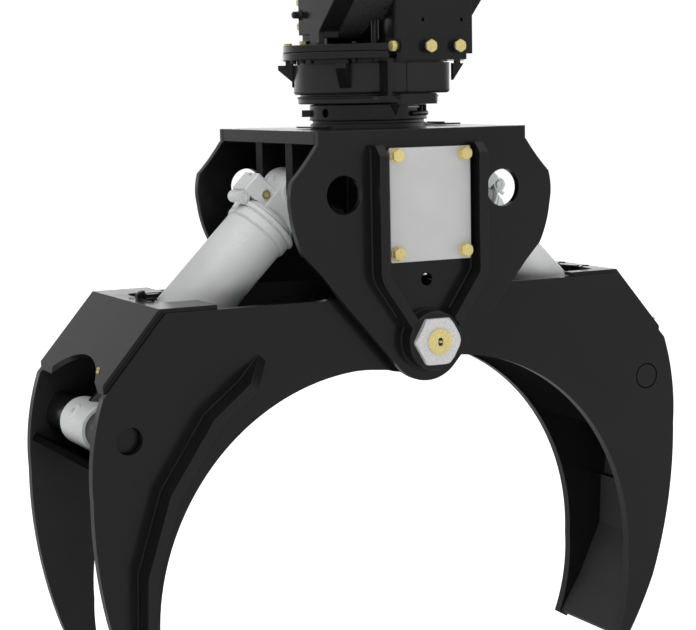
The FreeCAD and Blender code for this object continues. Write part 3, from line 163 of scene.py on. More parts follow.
def m_paint(name, base, edge, rough, rough_var, peel=0.10, bevel=0.0016, dust=0.0, dust_col=(0.2, 0.19, 0.18), metallic=0.0, ior=1.5, edge_amt=1.0):
    """Powder coat or enamel: orange peel, patchy gloss, lighter edges that are partly thin paint and partly a painted
    highlight, a little dust.
    """
    t = Tree(name)
    t.bsdf.inputs["Metallic"].default_value = metallic
    t.bsdf.inputs["IOR"].default_value = ior
    bev = t.bevel(bevel)
    mask = t.edge_mask(bev)
    brk = t.noise(38.0, 5.0, 0.62)
    brk_r = t.span(brk.outputs["Fac"], 0.35, 0.62, 0.25, 1.0)
    em = t.math("MULTIPLY", mask, brk_r)
    em = t.math("MULTIPLY", em, edge_amt)
    big = t.noise(2.3, 5.0, 0.6)
    col = t.mix(t.span(big.outputs["Fac"], 0.3, 0.7, 0.0, 1.0), [c * 0.86 for c in base], [c * 1.16 for c in base])
    if dust > 0:
        g = t.add("ShaderNodeNewGeometry")
        sep = t.add("ShaderNodeSeparateXYZ")
        t.link(g, "Normal", sep, 0)
        up = t.span(sep.outputs["Z"], 0.2, 1.0, 0.0, 1.0)
        dn = t.noise(9.0, 6.0, 0.65)
        dd = t.math("MULTIPLY", up, t.span(dn.outputs["Fac"], 0.4, 0.75, 0.0, dust))
        col = t.mix(dd, col, dust_col)
    # lighter colour at the rounded edges: partly worn thin paint, partly a painted highlight
    col = t.mix(em, col, edge)
    t.to("Base Color", col)
    rn = t.noise(6.5, 6.0, 0.6)
    r = t.span(rn.outputs["Fac"], 0.3, 0.72, rough - rough_var, rough + rough_var)
    fine = t.noise(55.0, 4.0, 0.6)
    r = t.math("ADD", r, t.span(fine.outputs["Fac"], 0.45, 0.8, 0.0, rough_var * 0.8))
    r = t.math("ADD", r, t.math("MULTIPLY", em, 0.12))
    t.to("Roughness", r)
    pl = t.noise(420.0, 2.0, 0.5)
    n = t.bump(pl.outputs["Fac"], peel, 0.0004, bev.outputs["Normal"])
    wav = t.noise(14.0, 2.0, 0.5)
    n2 = t.bump(wav.outputs["Fac"], 0.05, 0.002, n)
    t.to("Normal", n2)
    return t.mat


def m_steel(name, base, rough, aniso_axis="none", scratch=0.3, edge=(0.75, 0.75, 0.74), metallic=1.0, bevel=0.0008, tint_var=0.12, bump_s=0.12):
    """Machined or plated metal with fine tool marks."""
    t = Tree(name)
    t.bsdf.inputs["Metallic"].default_value = metallic
    bev = t.bevel(bevel)
    mask = t.edge_mask(bev)
    sc = {"none": (60, 60, 60), "x": (4, 260, 260), "y": (260, 4, 260), "z": (260, 260, 4)}[aniso_axis]
    v = t.stretch(*sc)
    tm = t.noise(6.0, 4.0, 0.6, src=v)
    big = t.noise(7.0, 4.0, 0.6)
    col = t.mix(t.span(big.outputs["Fac"], 0.3, 0.7, 0.0, 1.0), [c * (1 - tint_var) for c in base], [min(1, c * (1 + tint_var)) for c in base])
    col = t.mix(t.math("MULTIPLY", mask, 0.6), col, edge)
    t.to("Base Color", col)
    r = t.span(tm.outputs["Fac"], 0.3, 0.7, rough * (1 - scratch), rough * (1 + scratch))
    t.to("Roughness", r)
    n = t.bump(tm.outputs["Fac"], bump_s, 0.0003, bev.outputs["Normal"])
    t.to("Normal", n)
    return t.mat


BLACK = m_paint("black_paint", (0.0058, 0.0058, 0.0061), (0.045, 0.045, 0.046), 0.20, 0.045, peel=0.07, dust=0.04)
# painted shade: a darker, less reflective copy of the black paint for parts set back in shade
BLACK_IN_SHADE = m_paint("black_paint_inner_painted_shade", (0.0035, 0.0035, 0.0037), (0.012, 0.012, 0.012), 0.42, 0.06, peel=0.08, ior=1.33)
GREY = m_paint("grey_paint", (0.60, 0.612, 0.606), (0.68, 0.685, 0.68), 0.33, 0.06, peel=0.05, dust=0.03, dust_col=(0.45, 0.44, 0.42))
PLATE = m_steel("bare_plate", (0.52, 0.52, 0.52), 0.42, "x", 0.2, tint_var=0.05, metallic=0.35)
ZINC = m_steel("zinc_yellow", (0.74, 0.62, 0.27), 0.30, "none", 0.35, edge=(0.85, 0.8, 0.6), tint_var=0.18, metallic=0.45)
BRIGHT = m_steel("bright_steel", (0.60, 0.595, 0.595), 0.28, "none", 0.3, metallic=0.35, tint_var=0.05)
PIN = m_steel("pin_steel", (0.20, 0.20, 0.205), 0.34, "y", 0.3, edge=(0.4, 0.4, 0.4))
CHROME = m_steel("chrome_rod", (0.78, 0.79, 0.80), 0.09, "none", 0.3, tint_var=0.04, bump_s=0.03)
BRONZE = m_steel("bronze", (0.62, 0.42, 0.20), 0.32, "none", 0.3, edge=(0.8, 0.6, 0.35))
# painted shade: a darker black that reflects almost nothing (IOR 1.02), standing for the shade inside the arms on the
# belly plates
BELLY = m_paint("black_paint_matt_painted_shade", (0.0038, 0.0038, 0.0040), (0.008, 0.008, 0.008), 0.55, 0.06, peel=0.04, ior=1.02)
MOTOR = m_paint("cast_motor", (0.03, 0.03, 0.032), (0.10, 0.10, 0.10), 0.45, 0.08, peel=0.5)
SLOT = {"black_paint": BLACK, "grey_paint": GREY, "bare_plate": PLATE, "zinc_yellow": ZINC, "bright_steel": BRIGHT, "pin_steel": PIN,
        "chrome_rod": CHROME, "bronze": BRONZE, "cast_motor": MOTOR}
for sp in frame["record"]["subparts"]:
    o = NODES[sp["node"]]
    o.data.materials.clear()
    o.data.materials.append(SLOT[sp["material_slot"]])
# the head's inner frame and the hanger's rear leg take the painted-shade copy of the black paint
for n in ("head_inner_frame", "hanger_rear_leg"):
    NODES[n].data.materials[0] = BLACK_IN_SHADE
# the belly plates take the painted-shade black
for n in ("left_arm_belly_plate", "right_arm_belly_plate"):
    NODES[n].data.materials[0] = BELLY
for n in ("left_rod_pin", "right_rod_pin"):
    NODES[n].data.materials[0] = BLACK
# painted light: a lighter copy of the black paint, standing in for the light that the sloped arch web reflects
BLACK_WEB_LIT = m_paint("black_paint_web_painted_light", (0.022, 0.022, 0.023), (0.05, 0.05, 0.05), 0.26, 0.05, peel=0.05)
BLACK_ROT = m_paint("black_paint_rotator", (0.0115, 0.0115, 0.0118), (0.05, 0.05, 0.05), 0.22, 0.045, peel=0.07)
# painted light: a lighter, flatter copy of the black paint, standing in for the light the right arm's back plates
# reflect
BLACK_FLAT_LIT = m_paint("black_paint_flat_painted_light", (0.036, 0.036, 0.0365), (0.05, 0.05, 0.05), 0.45, 0.05, peel=0.05, ior=1.2)
# painted light: a lighter, duller copy of the black paint for the inner faces picked below
BLACK_SIDE_LIT = m_paint("black_paint_inside_painted_light", (0.017, 0.017, 0.0175), (0.02, 0.02, 0.02), 0.5, 0.06, peel=0.05, ior=1.1)
# the arch web takes the lighter copy: painted light
NODES["hanger_arch_web"].data.materials[0] = BLACK_WEB_LIT
# the right arm's back plates take the lighter copy: painted light
NODES["right_arm_back_plates"].data.materials[0] = BLACK_FLAT_LIT
for n in ("rotator_housing", "rotor_hub", "seal_carrier_ring"):
    NODES[n].data.materials[0] = BLACK_ROT
# painted light: the inner faces of the arms' side plates and their pin bosses, picked out by facing -Y, get a lighter
# and duller copy of the black paint for the light they catch
for n in ("left_arm_rear_plate", "left_arm_pin_bosses"):
    me_ = NODES[n].data
    me_.materials.append(BLACK_SIDE_LIT)
    turn_ = NODES[n].matrix_world.to_3x3()
    for f_ in me_.polygons:
        if (turn_ @ f_.normal).normalized().y < -0.9:
            f_.material_index = 1


# ------------------------------------------------------------------ piece builders (millimetres, main pin at the origin)
def mm(p):
    return (p[0] / 1000.0, p[1] / 1000.0, p[2] / 1000.0 - H)


def piece(name, build, mat, body, angle=38):
    me = bpy.data.meshes.new(name)
    bm = bmesh.new()
    build(bm)
    bmesh.ops.remove_doubles(bm, verts=bm.verts[:], dist=2e-6)
    bmesh.ops.recalc_face_normals(bm, faces=bm.faces[:])
    bm.to_mesh(me)
    bm.free()
    me.materials.append(mat)
    o = bpy.data.objects.new(name, me)
    scene.collection.objects.link(o)
    me.polygons.foreach_set("use_smooth", [True] * len(me.polygons))
    me.set_sharp_from_angle(angle=math.radians(angle))
    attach(o, body)
    return o


def skin(bm, rings, loop=False):
    """Faces between rings of vertices; a ring of one vertex is a pole."""
    pairs = list(zip(rings, rings[1:])) + ([(rings[-1], rings[0])] if loop else [])
    for A, B in pairs:
        n = max(len(A), len(B))
        if n < 2:
            continue
        for i in range(n):
            j = (i + 1) % n
            vs = [A[i % len(A)], A[j % len(A)], B[j % len(B)], B[i % len(B)]]
            u = []
            for q in vs:
                if q not in u:
                    u.append(q)
            if len(u) > 2:
                bm.faces.new(u)


def lathe(bm, origin, axis, prof, seg=32, loop=False, turn=0.0, ref=None):
    """Turned shape: prof is (radius, distance along the axis)."""
    a = Vector(axis).normalized()
    u = (Vector(ref) if ref else a.orthogonal()).normalized()
    v = a.cross(u)
    rings = []
    for r_, h_ in prof:
        c = Vector(origin) + a * h_
        if r_ < 1e-6:
            rings.append([bm.verts.new(mm(c))])
        else:
            rings.append([bm.verts.new(mm(c + (u * math.cos(turn + 2 * math.pi * k / seg) + v * math.sin(turn + 2 * math.pi * k / seg)) * r_))
                          for k in range(seg)])
    skin(bm, rings, loop)


def tube(bm, pts, rad, seg=8, loop=False):
    """Round section along points; rad is a number or a list, one for each point."""
    pts = [Vector(p) for p in pts]
    n = len(pts)
    rings = []
    prev = None
    for i, p in enumerate(pts):
        if loop:
            t_ = (pts[(i + 1) % n] - pts[i - 1]).normalized()
        else:
            t_ = (pts[min(i + 1, n - 1)] - pts[max(i - 1, 0)]).normalized()
        if prev is None:
            prev = t_.orthogonal().normalized()
        prev = (prev - t_ * prev.dot(t_)).normalized()
        w_ = t_.cross(prev)
        r_ = rad[i] if isinstance(rad, list) else rad
        rings.append([bm.verts.new(mm(p + (prev * math.cos(2 * math.pi * k / seg) + w_ * math.sin(2 * math.pi * k / seg)) * r_)) for k in range(seg)])
    if loop:
        # close with the twist taken out
        A, B = rings[-1], rings[0]
        best = min(range(seg), key=lambda s_: sum((A[k].co - B[(k + s_) % seg].co).length for k in range(seg)))
        skin(bm, rings)
        for k in range(seg):
            bm.faces.new([A[k], A[(k + 1) % seg], B[(k + 1 + best) % seg], B[(k + best) % seg]])
    else:
        c0 = bm.verts.new(mm(pts[0]))
        c1 = bm.verts.new(mm(pts[-1]))
        skin(bm, [[c0]] + rings + [[c1]])


def sample(pts, step, loop=False):
    out = []
    pts = [Vector(p) for p in pts]
    seq = pts + [pts[0]] if loop else pts
    for a, b in zip(seq, seq[1:]):
        n = max(1, int(round((b - a).length / step)))
        out += [a.lerp(b, k / n) for k in range(n)]
    if not loop:
        out.append(seq[-1])
    return out


def weld(bm, pts, size=4.5, loop=False):
    """Fillet weld with the ripple of its passes."""
    s = sample(pts, 2.6, loop)
    rad = []
    for i, p in enumerate(s):
        w_ = 0.5 + 0.5 * math.cos(2 * math.pi * i / 3.0)
        slow = math.sin(i * 0.083 + pts[0][0] * 0.01) * 0.06 + math.sin(i * 0.031) * 0.05
        rad.append(size * (0.86 + 0.17 * w_ + slow))
    if not loop:
        rad[0] *= 0.5
        rad[-1] *= 0.5
    tube(bm, s, rad, seg=7, loop=loop)


def circle(c, axis, r_, n=72, a0=0.0, a1=360.0):
    a = Vector(axis).normalized()
    u = Vector((0, 0, 1)) if abs(a.z) < 0.9 else Vector((1, 0, 0))
    u = (u - a * u.dot(a)).normalized()
    v = a.cross(u)
    full = abs(a1 - a0 - 360.0) < 1e-6
    m_ = n if full else n + 1
    return [Vector(c) + (u * math.cos(math.radians(a0 + (a1 - a0) * k / n)) + v * math.sin(math.radians(a0 + (a1 - a0) * k / n))) * r_ for k in range(m_)]


def block(bm, p0, p1, ch=1.0, M3=None):
    """Box with broken edges between two corners (optionally turned by M3 about the origin)."""
    lo = Vector([min(a, b) for a, b in zip(p0, p1)])
    hi = Vector([max(a, b) for a, b in zip(p0, p1)])
    ch = min(ch, min(hi - lo) * 0.45)
    vs = {}
    for ix_ in (0, 1):
        for iy_ in (0, 1):
            for iz_ in (0, 1):
                c = Vector((hi.x if ix_ else lo.x, hi.y if iy_ else lo.y, hi.z if iz_ else lo.z))
                s = Vector((-1 if ix_ else 1, -1 if iy_ else 1, -1 if iz_ else 1))
                for ax_ in range(3):
                    q = c.copy()
                    for k in range(3):
                        if k != ax_:
                            q[k] += s[k] * ch
                    if M3 is not None:
                        q = M3 @ q
                    vs[(ix_, iy_, iz_, ax_)] = bm.verts.new(mm(q))
    new = list(vs.values())
    for ax_ in range(3):
        for side_ in (0, 1):
            o_ = [k for k in range(3) if k != ax_]
            f = []
            for a, b in ((0, 0), (1, 0), (1, 1), (0, 1)):
                key = [0, 0, 0]
                key[ax_] = side_
                key[o_[0]] = a
                key[o_[1]] = b
                f.append(vs[tuple(key) + (ax_,)])
            bm.faces.new(f)
    # edge and corner facets
    for ax_ in range(3):
        o_ = [k for k in range(3) if k != ax_]
        for a in (0, 1):
            for b in (0, 1):
                k0, k1 = [0, 0, 0], [0, 0, 0]
                k0[ax_], k1[ax_] = 0, 1
                k0[o_[0]] = k1[o_[0]] = a
                k0[o_[1]] = k1[o_[1]] = b
                bm.faces.new([vs[tuple(k0) + (o_[0],)], vs[tuple(k1) + (o_[0],)], vs[tuple(k1) + (o_[1],)], vs[tuple(k0) + (o_[1],)]])
    for ix_ in (0, 1):
        for iy_ in (0, 1):
            for iz_ in (0, 1):
                bm.faces.new([vs[(ix_, iy_, iz_, k)] for k in range(3)])


def plate(bm, pts, off, axis, inset=0.8):
    """Flat shape with broken edges: pts on one face, off the thickness vector."""
    off = Vector(off)
    c = sum((Vector(p) for p in pts), Vector()) / len(pts)
    t_ = off.normalized()
    e = min(inset, off.length * 0.3)
    ins = [Vector(p) + (c - Vector(p)).normalized() * e for p in pts]
    rings = [[bm.verts.new(mm(p)) for p in ins],
             [bm.verts.new(mm(Vector(p) + t_ * e)) for p in pts],
             [bm.verts.new(mm(Vector(p) + off - t_ * e)) for p in pts],
             [bm.verts.new(mm(p + off)) for p in ins]]
    skin(bm, rings)
    bm.faces.new(rings[0][::-1])
    bm.faces.new(rings[-1])


def hexbolt(bm, p, axis, af=16.0, head=8.0, washer=0.0, wt_=2.0):
    """Hex head with its chamfered crown and washer face."""
    h0 = 0.0
    if washer:
        lathe(bm, p, axis, [(washer * 0.45, 0), (washer - 0.4, 0), (washer, 0.4), (washer, wt_ - 0.4), (washer - 0.4, wt_), (washer * 0.45, wt_)], 28)
        h0 = wt_
    rc = af / math.sqrt(3)
    lathe(bm, p, axis, [(0, h0), (rc, h0), (rc, h0 + head * 0.78), (rc * 0.93, h0 + head), (0, h0 + head)], 6)
    lathe(bm, p, axis, [(af * 0.36, h0 + head), (af * 0.33, h0 + head + 0.5), (0, h0 + head + 0.5)], 20)


def socket_bolt(bm, p, axis, r_=9.0, head=9.0):
    lathe(bm, p, axis, [(0, 0), (r_, 0), (r_, head - 1), (r_ - 1, head), (r_ * 0.62, head), (r_ * 0.55, head - 0.4)], 24)
    lathe(bm, p, axis, [(r_ * 0.55, head - 0.4), (r_ * 0.53, head * 0.4), (0, head * 0.36)], 6)


def nipple(bm, p, axis, k=1.0):
    """Grease nipple: hex, neck, ball end."""
    lathe(bm, p, axis, [(0, 0), (5.2 * k, 0), (5.2 * k, 3.6 * k), (4.6 * k, 4.4 * k), (0, 4.4 * k)], 6)
    lathe(bm, p, axis, [(3.2 * k, 4.2 * k), (2.6 * k, 6.0 * k), (2.4 * k, 8.0 * k), (3.3 * k, 9.2 * k), (3.5 * k, 10.4 * k), (2.9 * k, 11.8 * k),
                        (1.4 * k, 12.6 * k), (0.8 * k, 12.2 * k), (0, 12.0 * k)], 18)


def cylp(s, a, b, y):
    """Point in a cylinder's own directions: a along it from the base pin, b outward."""
    L0 = math.hypot(565.0, 563.0)
    return Vector((s * 231 + (s * 565 * a + s * 563 * b) / L0, y, 376 + (-563 * a + 565 * b) / L0))


def cyld(s, a, b, y=0.0):
    L0 = math.hypot(565.0, 563.0)
    return Vector((s * (565 * a + 563 * b) / L0, y, (-563 * a + 565 * b) / L0))


RUBBER = m_paint("black_seal", (0.006, 0.006, 0.0062), (0.012, 0.012, 0.012), 0.55, 0.05, peel=0.12)
WELD = m_paint("weld_painted", (0.0058, 0.0058, 0.0060), (0.009, 0.009, 0.009), 0.30, 0.05, peel=0.12, bevel=0.0008)
WELD_G = m_paint("weld_grey", (0.54, 0.55, 0.545), (0.6, 0.6, 0.6), 0.40, 0.06, peel=0.2, bevel=0.0008)
BRASS = m_steel("brass_plug", (0.36, 0.30, 0.10), 0.30, "none", 0.3, edge=(0.85, 0.75, 0.4), metallic=0.5, tint_var=0.15)

# ------------------------------------------------------------------ head

def head_welds(bm):
    for q in (-1, 1):
        y = q * 301.0
        for s in (-1, 1):
            weld(bm, [(s * 157, y, 490), (s * 157, y, 192), (s * 155.5, y, 171), (s * 147, y, 147), (s * 89.5, y, 62)], 4.0)
            weld(bm, [(s * 130, y, 490), (s * 130, y, 186), (s * 128.5, y, 172), (s * 72, y, 88), (s * 62, y, 74)], 4.0)
        weld(bm, circle((0, y, 0), (0, 1, 0), 77.5, 80), 4.2, loop=True)
        # top plate and webs to the side plates, on the inside
        yi = q * 276.5
        weld(bm, [(-290, yi, 501), (290, yi, 501)], 5.0)
        for s in (-1, 1):
            weld(bm, [(s * 98, yi, 497), (s * 98, yi, 194)], 4.5)
            weld(bm, [(s * 122, yi, 497), (s * 122, yi, 194)], 4.5)
    for y in (-111.5, -68.5, 68.5, 111.5):
        for s in (-1, 1):
            weld(bm, [(s * 126, y, 501), (s * 276, y, 501)], 5.0)
            weld(bm, [(s * 122.5, y, 490), (s * 122.5, y, 305)], 4.5)


piece("head_weld_beads", head_welds, WELD, "head")


def pin_nipples(bm):
    for q in (-1, 1):
        nipple(bm, (0, q * 361.2, 0), (0, q, 0), 0.72)


piece("main_pin_grease_nipples", pin_nipples, ZINC, "head")


# painted shade: a thin black sheet on each main pin end, round the grease nipple, standing for the shade in the cap's
# recess
def pin_recess_shade(bm):
    for q in (-1, 1):
        plate(bm, [(6.4 * math.cos(t_) , q * 360.9, 6.4 * math.sin(t_) + (4 if math.sin(t_) > 0 else -4)) for t_ in [k * math.pi / 12 for k in range(24)]],
              (0, q * 0.5, 0), None, 0.2)


piece("main_pin_cap_recess_shade", pin_recess_shade, RUBBER, "head")


def lock_tabs(bm):
    # end caps of the base pins, each with a grease nipple
    for s in (-1, 1):
        for q in (-1, 1):
            p = Vector((s * 231, q * 118.2, 376))
            lathe(bm, p, (0, q, 0), [(0, 0), (24, 0), (24, 2.4), (22, 3.4), (9, 3.4), (8, 2.4), (0, 2.4)], 32)
            nipple(bm, p + Vector((0, q * 2.2, 0)), (0, q, 0), 0.9)


piece("base_pin_end_caps", lock_tabs, PIN, "head")


def plate_washers(bm):
    for x, z in ((-98, 224.6), (98, 224.6), (-98, 469.6), (98, 469.6)):
        # split washer between bolt head and plate
        pts = circle((x, -326.1, z), (0, 1, 0), 17.2, 30, 12, 348)
        tube(bm, pts, 1.5, 6)


piece("nameplate_split_washers", plate_washers, ZINC, "head")


def hub_nuts(bm):
    for k in range(12):
        t_ = math.radians(15 + 30 * k)
        if abs(math.cos(t_) * 128) > 96 and abs(math.sin(t_) * 128) < 118 and abs(math.sin(t_) * 128) > 66:
            continue
        if 98 < abs(math.cos(t_) * 128) < 125:
            continue
        hexbolt(bm, (128 * math.cos(t_), 128 * math.sin(t_), 501.8), (0, 0, -1), 24, 13, 17, 3)


piece("hub_fixing_nuts", hub_nuts, ZINC, "head")


def rotor_details(bm):
    # grease nozzle wedge and cable clips on the collar, ring of seal screws
    plate(bm, [(-17, -157.6, 592), (9, -157.6, 592), (-2, -157.6, 567)], (0, 4.5, 0), None, 0.8)
    for ang, z0, z1, w_ in ((-58, 564, 592, 7), (-49, 568, 592, 7)):
        t_ = math.radians(ang)
        c = Vector((156.5 * math.cos(t_), 156.5 * math.sin(t_), z0))
        lathe(bm, c, (0, 0, 1), [(0, 0), (w_ - 1, 0), (w_, 1), (w_, z1 - z0 - 4), (w_ - 2, z1 - z0), (0, z1 - z0)], 20)
    for k in range(16):
        t_ = math.radians(11 + 22.5 * k)
        socket_bolt(bm, (140 * math.cos(t_), 140 * math.sin(t_), 596.0), (0, 0, 1), 4.2, 1.2)


# the collar fittings take the painted-shade copy of the black paint
piece("rotor_collar_fittings", rotor_details, BLACK_IN_SHADE, "head")


def collar_clamp(bm):
    # clamp band over the collar at the right: a rounded strap, and a thin ring round the collar
    pts = [Vector((157.5 * math.cos(math.radians(a)), 157.5 * math.sin(math.radians(a)), 570)) for a in range(-73, -42, 2)]
    tube(bm, pts, 7.0, 10)
    pts = [Vector((156.0 * math.cos(math.radians(a)), 156.0 * math.sin(math.radians(a)), 556)) for a in range(0, 360, 3)]
    tube(bm, pts, 1.6, 6, loop=True)


piece("rotor_collar_clamp", collar_clamp, BLACK, "head")


# painted highlight: a short bright steel strip round the collar's front right, standing for a glint on the collar
def collar_highlight_strip(bm):
    pts = [Vector((157.0 * math.cos(math.radians(a)), 157.0 * math.sin(math.radians(a)), 587)) for a in range(-77, -59, 1)]
    tube(bm, pts, 1.9, 8)


piece("rotor_collar_highlight_strip", collar_highlight_strip, BRIGHT, "head")

# ------------------------------------------------------------------ hanger and rotator housing


def hanger_welds(bm):
    weld(bm, [(-191, -94, 751), (-191, -48, 751)], 4.0)
    weld(bm, [(21, -32, 751), (21, 68, 751)], 4.0)
    weld(bm, [(53, -32, 751), (53, 68, 751)], 4.0)
    weld(bm, [(-14, -60, 751), (196, -60, 751)], 4.2)
    weld(bm, [(-21, -64, 751), (-21, -160, 751)], 3.6)
    weld(bm, [(201, -64, 751), (201, -186, 751)], 3.6)
    for y in (-131, -69):
        weld(bm, [(202, y, 764), (202, y, 902)], 4.0)
    weld(bm, [(-188, -190, 904), (-188, 24, 904)], 4.0)
    weld(bm, [(-127, -180, 904), (-24, -180, 904)], 4.2)
    for x0 in (-100, 55):
        for x in (x0 - 1.5, x0 + 46.5):
            weld(bm, [(x, -84, 940), (x, 70, 940)], 5.0)
        for y in (-89, 74):
            weld(bm, [(x0 + 2, y, 940), (x0 + 43, y, 940)], 5.0)
    # bar behind the left cheek
    weld(bm, [(-172.5, -86, 768.5), (-132, -86, 768.5)], 3.2)
    # motor box to crosshead
    weld(bm, [(202, -186, 903.5), (202, -66, 903.5)], 4.0)
    # ears to the housing
    for ang in (152, 225, 80, 8):
        t_ = math.radians(ang)
        e, n_ = Vector((math.cos(t_), math.sin(t_), 0)), Vector((-math.sin(t_), math.cos(t_), 0))
        for q in (-1, 1):
            weld(bm, [e * 197.4 + n_ * (q * 14.6) + Vector((0, 0, 642)), e * 197.4 + n_ * (q * 14.6) + Vector((0, 0, 697))], 3.0)


piece("hanger_weld_beads", hanger_welds, WELD, "hanger")


def flange_screws(bm):
    for ang in (-173, -128, -112, 172, 130, 110, 60, 40, 22, -12, -30):
        t_ = math.radians(ang)
        socket_bolt(bm, (205 * math.cos(t_), 205 * math.sin(t_), 710.9), (0, 0, -1), 7.0, 8.0)
    hexbolt(bm, (-97, -126, 710.9), (0, 0, -1), 11, 8)


piece("rotator_flange_screws", flange_screws, BLACK, "hanger")


def box_details(bm):
    # cover joint, fillers and the motor's fittings
    lathe(bm, (75, -118.2, 870.2), (0, 0, 1), [(0, 0), (30, 0), (30, 3), (27, 6), (27, 12), (24, 15), (0, 15)], 36)
    for x in (48, 102):
        for y in (-141, -95):
            socket_bolt(bm, (x, y, 870.2), (0, 0, 1), 6.5, 7)
    # pointed lower lip of the front cover and gasket line
    pts = [(-19, -192.6, 704.5), (181, -192.6, 704.5)]
    tube(bm, sample(pts, 8), 1.0, 6)


piece("motor_box_fittings", box_details, MOTOR, "hanger")


def lug_details(bm):
    for s in (-1, 1):
        x = s * 77.5
        nipple(bm, (x, 0, 1071.0), (0, 0, 1), 1.0)


piece("hanger_lug_nipples", lug_details, ZINC, "hanger")


def lug_rings(bm):
    for s in (-1, 1):
        for x, q in ((s * 54.6, -s), (s * 100.4, s)):
            lathe(bm, (x, 0, 1010), (q, 0, 0), [(38.5, -0.2), (42.5, -0.2), (42.0, 2.2), (39.0, 2.6), (38.5, 1.8)], 48, loop=True)


piece("hanger_lug_seals", lug_rings, RUBBER, "hanger")


def manifold_details(bm):
    for i in range(4):
        x = -54 + 36 * i
        lathe(bm, (x, 115, 820.0), (0, 0, 1), [(15.5, 0), (18.2, 0), (18.2, 1.6), (17.6, 2.2), (15.5, 2.2)], 36, loop=True)
        for k in range(5):
            pts = circle((x, 115, 824.5 + 3.6 * k), (0, 0, 1), 10.25, 28)
            tube(bm, pts, 0.45, 5, loop=True)
    for x in (-62, 62):
        for y in (92, 138):
            socket_bolt(bm, (x, y, 820.0), (0, 0, 1), 5.5, 6)
    for x in (-40, 40):
        hexbolt(bm, (x, 83.8, 786), (0, -1, 0), 19, 7, 11, 2)
        hexbolt(bm, (x, 146.2, 786), (0, 1, 0), 19, 7, 11, 2)


piece("manifold_seals_and_plugs", manifold_details, BRIGHT, "hanger")


def spindle_details(bm):
    for x in (-201, -205, -209):
        tube(bm, circle((x, 8, 828), (1, 0, 0), 8.6, 28), 0.8, 6, loop=True)
    lathe(bm, (-190.4, 8, 828), (-1, 0, 0), [(11.8, 0), (14, 0), (14, 1.2), (13.2, 1.8), (11.8, 1.8)], 36, loop=True)


piece("cheek_spindle_rings", spindle_details, BLACK, "hanger")

# ------------------------------------------------------------------ arms


def arc3(p0, pm, p1, n=14):
    """Points on the circle through three XZ points."""
    (ax_, ay_), (bx_, by_), (cx_, cy_) = p0, pm, p1
    d_ = 2 * (ax_ * (by_ - cy_) + bx_ * (cy_ - ay_) + cx_ * (ay_ - by_))
    ux = ((ax_ ** 2 + ay_ ** 2) * (by_ - cy_) + (bx_ ** 2 + by_ ** 2) * (cy_ - ay_) + (cx_ ** 2 + cy_ ** 2) * (ay_ - by_)) / d_
    uy = ((ax_ ** 2 + ay_ ** 2) * (cx_ - bx_) + (bx_ ** 2 + by_ ** 2) * (ax_ - cx_) + (cx_ ** 2 + cy_ ** 2) * (bx_ - ax_)) / d_
    R_ = math.hypot(ax_ - ux, ay_ - uy)
    a0, am_, a1 = (math.atan2(p[1] - uy, p[0] - ux) for p in (p0, pm, p1))
    sgn = 1 if ((am_ - a0) % (2 * math.pi)) < ((a1 - a0) % (2 * math.pi)) else -1
    tot = (a1 - a0) % (2 * math.pi) if sgn > 0 else -((a0 - a1) % (2 * math.pi))
    return [(ux + R_ * math.cos(a0 + tot * k / n), uy + R_ * math.sin(a0 + tot * k / n)) for k in range(n + 1)]


def arm_welds(s, W_):
    at = 25.0

    def f(bm):
        yi = W_ - at
        # belly plate to the side plates, on its upper side
        r_, cx_, cz_ = 641.0 + 17.5, 115.0, -700.0
        pts = [(s * (cx_ + r_ * math.cos(math.radians(a))), cz_ + r_ * math.sin(math.radians(a))) for a in range(88, 38, -2)]
        for q in (-1, 1):
            weld(bm, [(x, q * (yi - 1.0), z) for x, z in pts], 4.6)
            weld(bm, [(s * x, q * (yi - 1.0), z) for x, z in ((744, -304), (882, -236))], 4.6)
            # cover to the plates, in the step beside it
            weld(bm, [(s * 556, q * (W_ - 15.7), 112.6), (s * 693, q * (W_ - 15.7), 112.6), (s * 849, q * (W_ - 15.7), -68.5)], 2.6)
            # rod pin bosses
            weld(bm, circle((s * 796, q * (yi - 1.2), -187), (0, 1, 0), 51.5, 56), 4.2, loop=True)
            # hub to the plates
            if s > 0:
                weld(bm, circle((0, q * (yi - 1.0), 0), (0, 1, 0), 86.5, 72), 4.2, loop=True)
            else:
                weld(bm, circle((0, q * (yi - 1.0), 0), (0, 1, 0), 86.5, 72), 4.2, loop=True)
        if s > 0:
            for q in (-1, 1):
                weld(bm, [(x, q * (yi - 0.6), z) for x, z in ((867, -552), (860, -682), (789, -832), (720, -934))], 3.0)
                weld(bm, [(x, q * (yi - 0.6), z) for x, z in ((889, -272), (886.5, -398), (869.5, -522))], 2.6)
            # bead that closes the joint between the two back plates
            weld(bm, [(860.5, y_, -531) for y_ in (2 - yi, 0.0, yi - 2)], 4.2)
        else:
            line = [(453, -8), (505, -67), (602, -144), (720, -317), (784, -512), (789, -650), (777, -790), (742, -890)]
            inner = [(434.5, -25.6), (487.5, -85.6), (583.0, -161.5), (697.5, -328.8), (759.3, -516.0), (763.9, -649.9), (752.7, -784.5), (718.5, -880.9)]
            for q in (-1, 1):
                y = q * (W_ + 1.0)
                weld(bm, [(s * x, y, z) for x, z in [(l[0] + 1.5, l[1] + 1.0) for l in line[:-1]]], 2.8)
                weld(bm, [(s * x, y, z) for x, z in [(l[0] - 1.0, l[1] - 1.0) for l in inner[:-1]]], 2.8)
    return f


piece("left_arm_weld_beads", arm_welds(-1, 252.0), WELD, "left_arm")
piece("right_arm_weld_beads", arm_welds(1, 159.0), WELD, "right_arm")


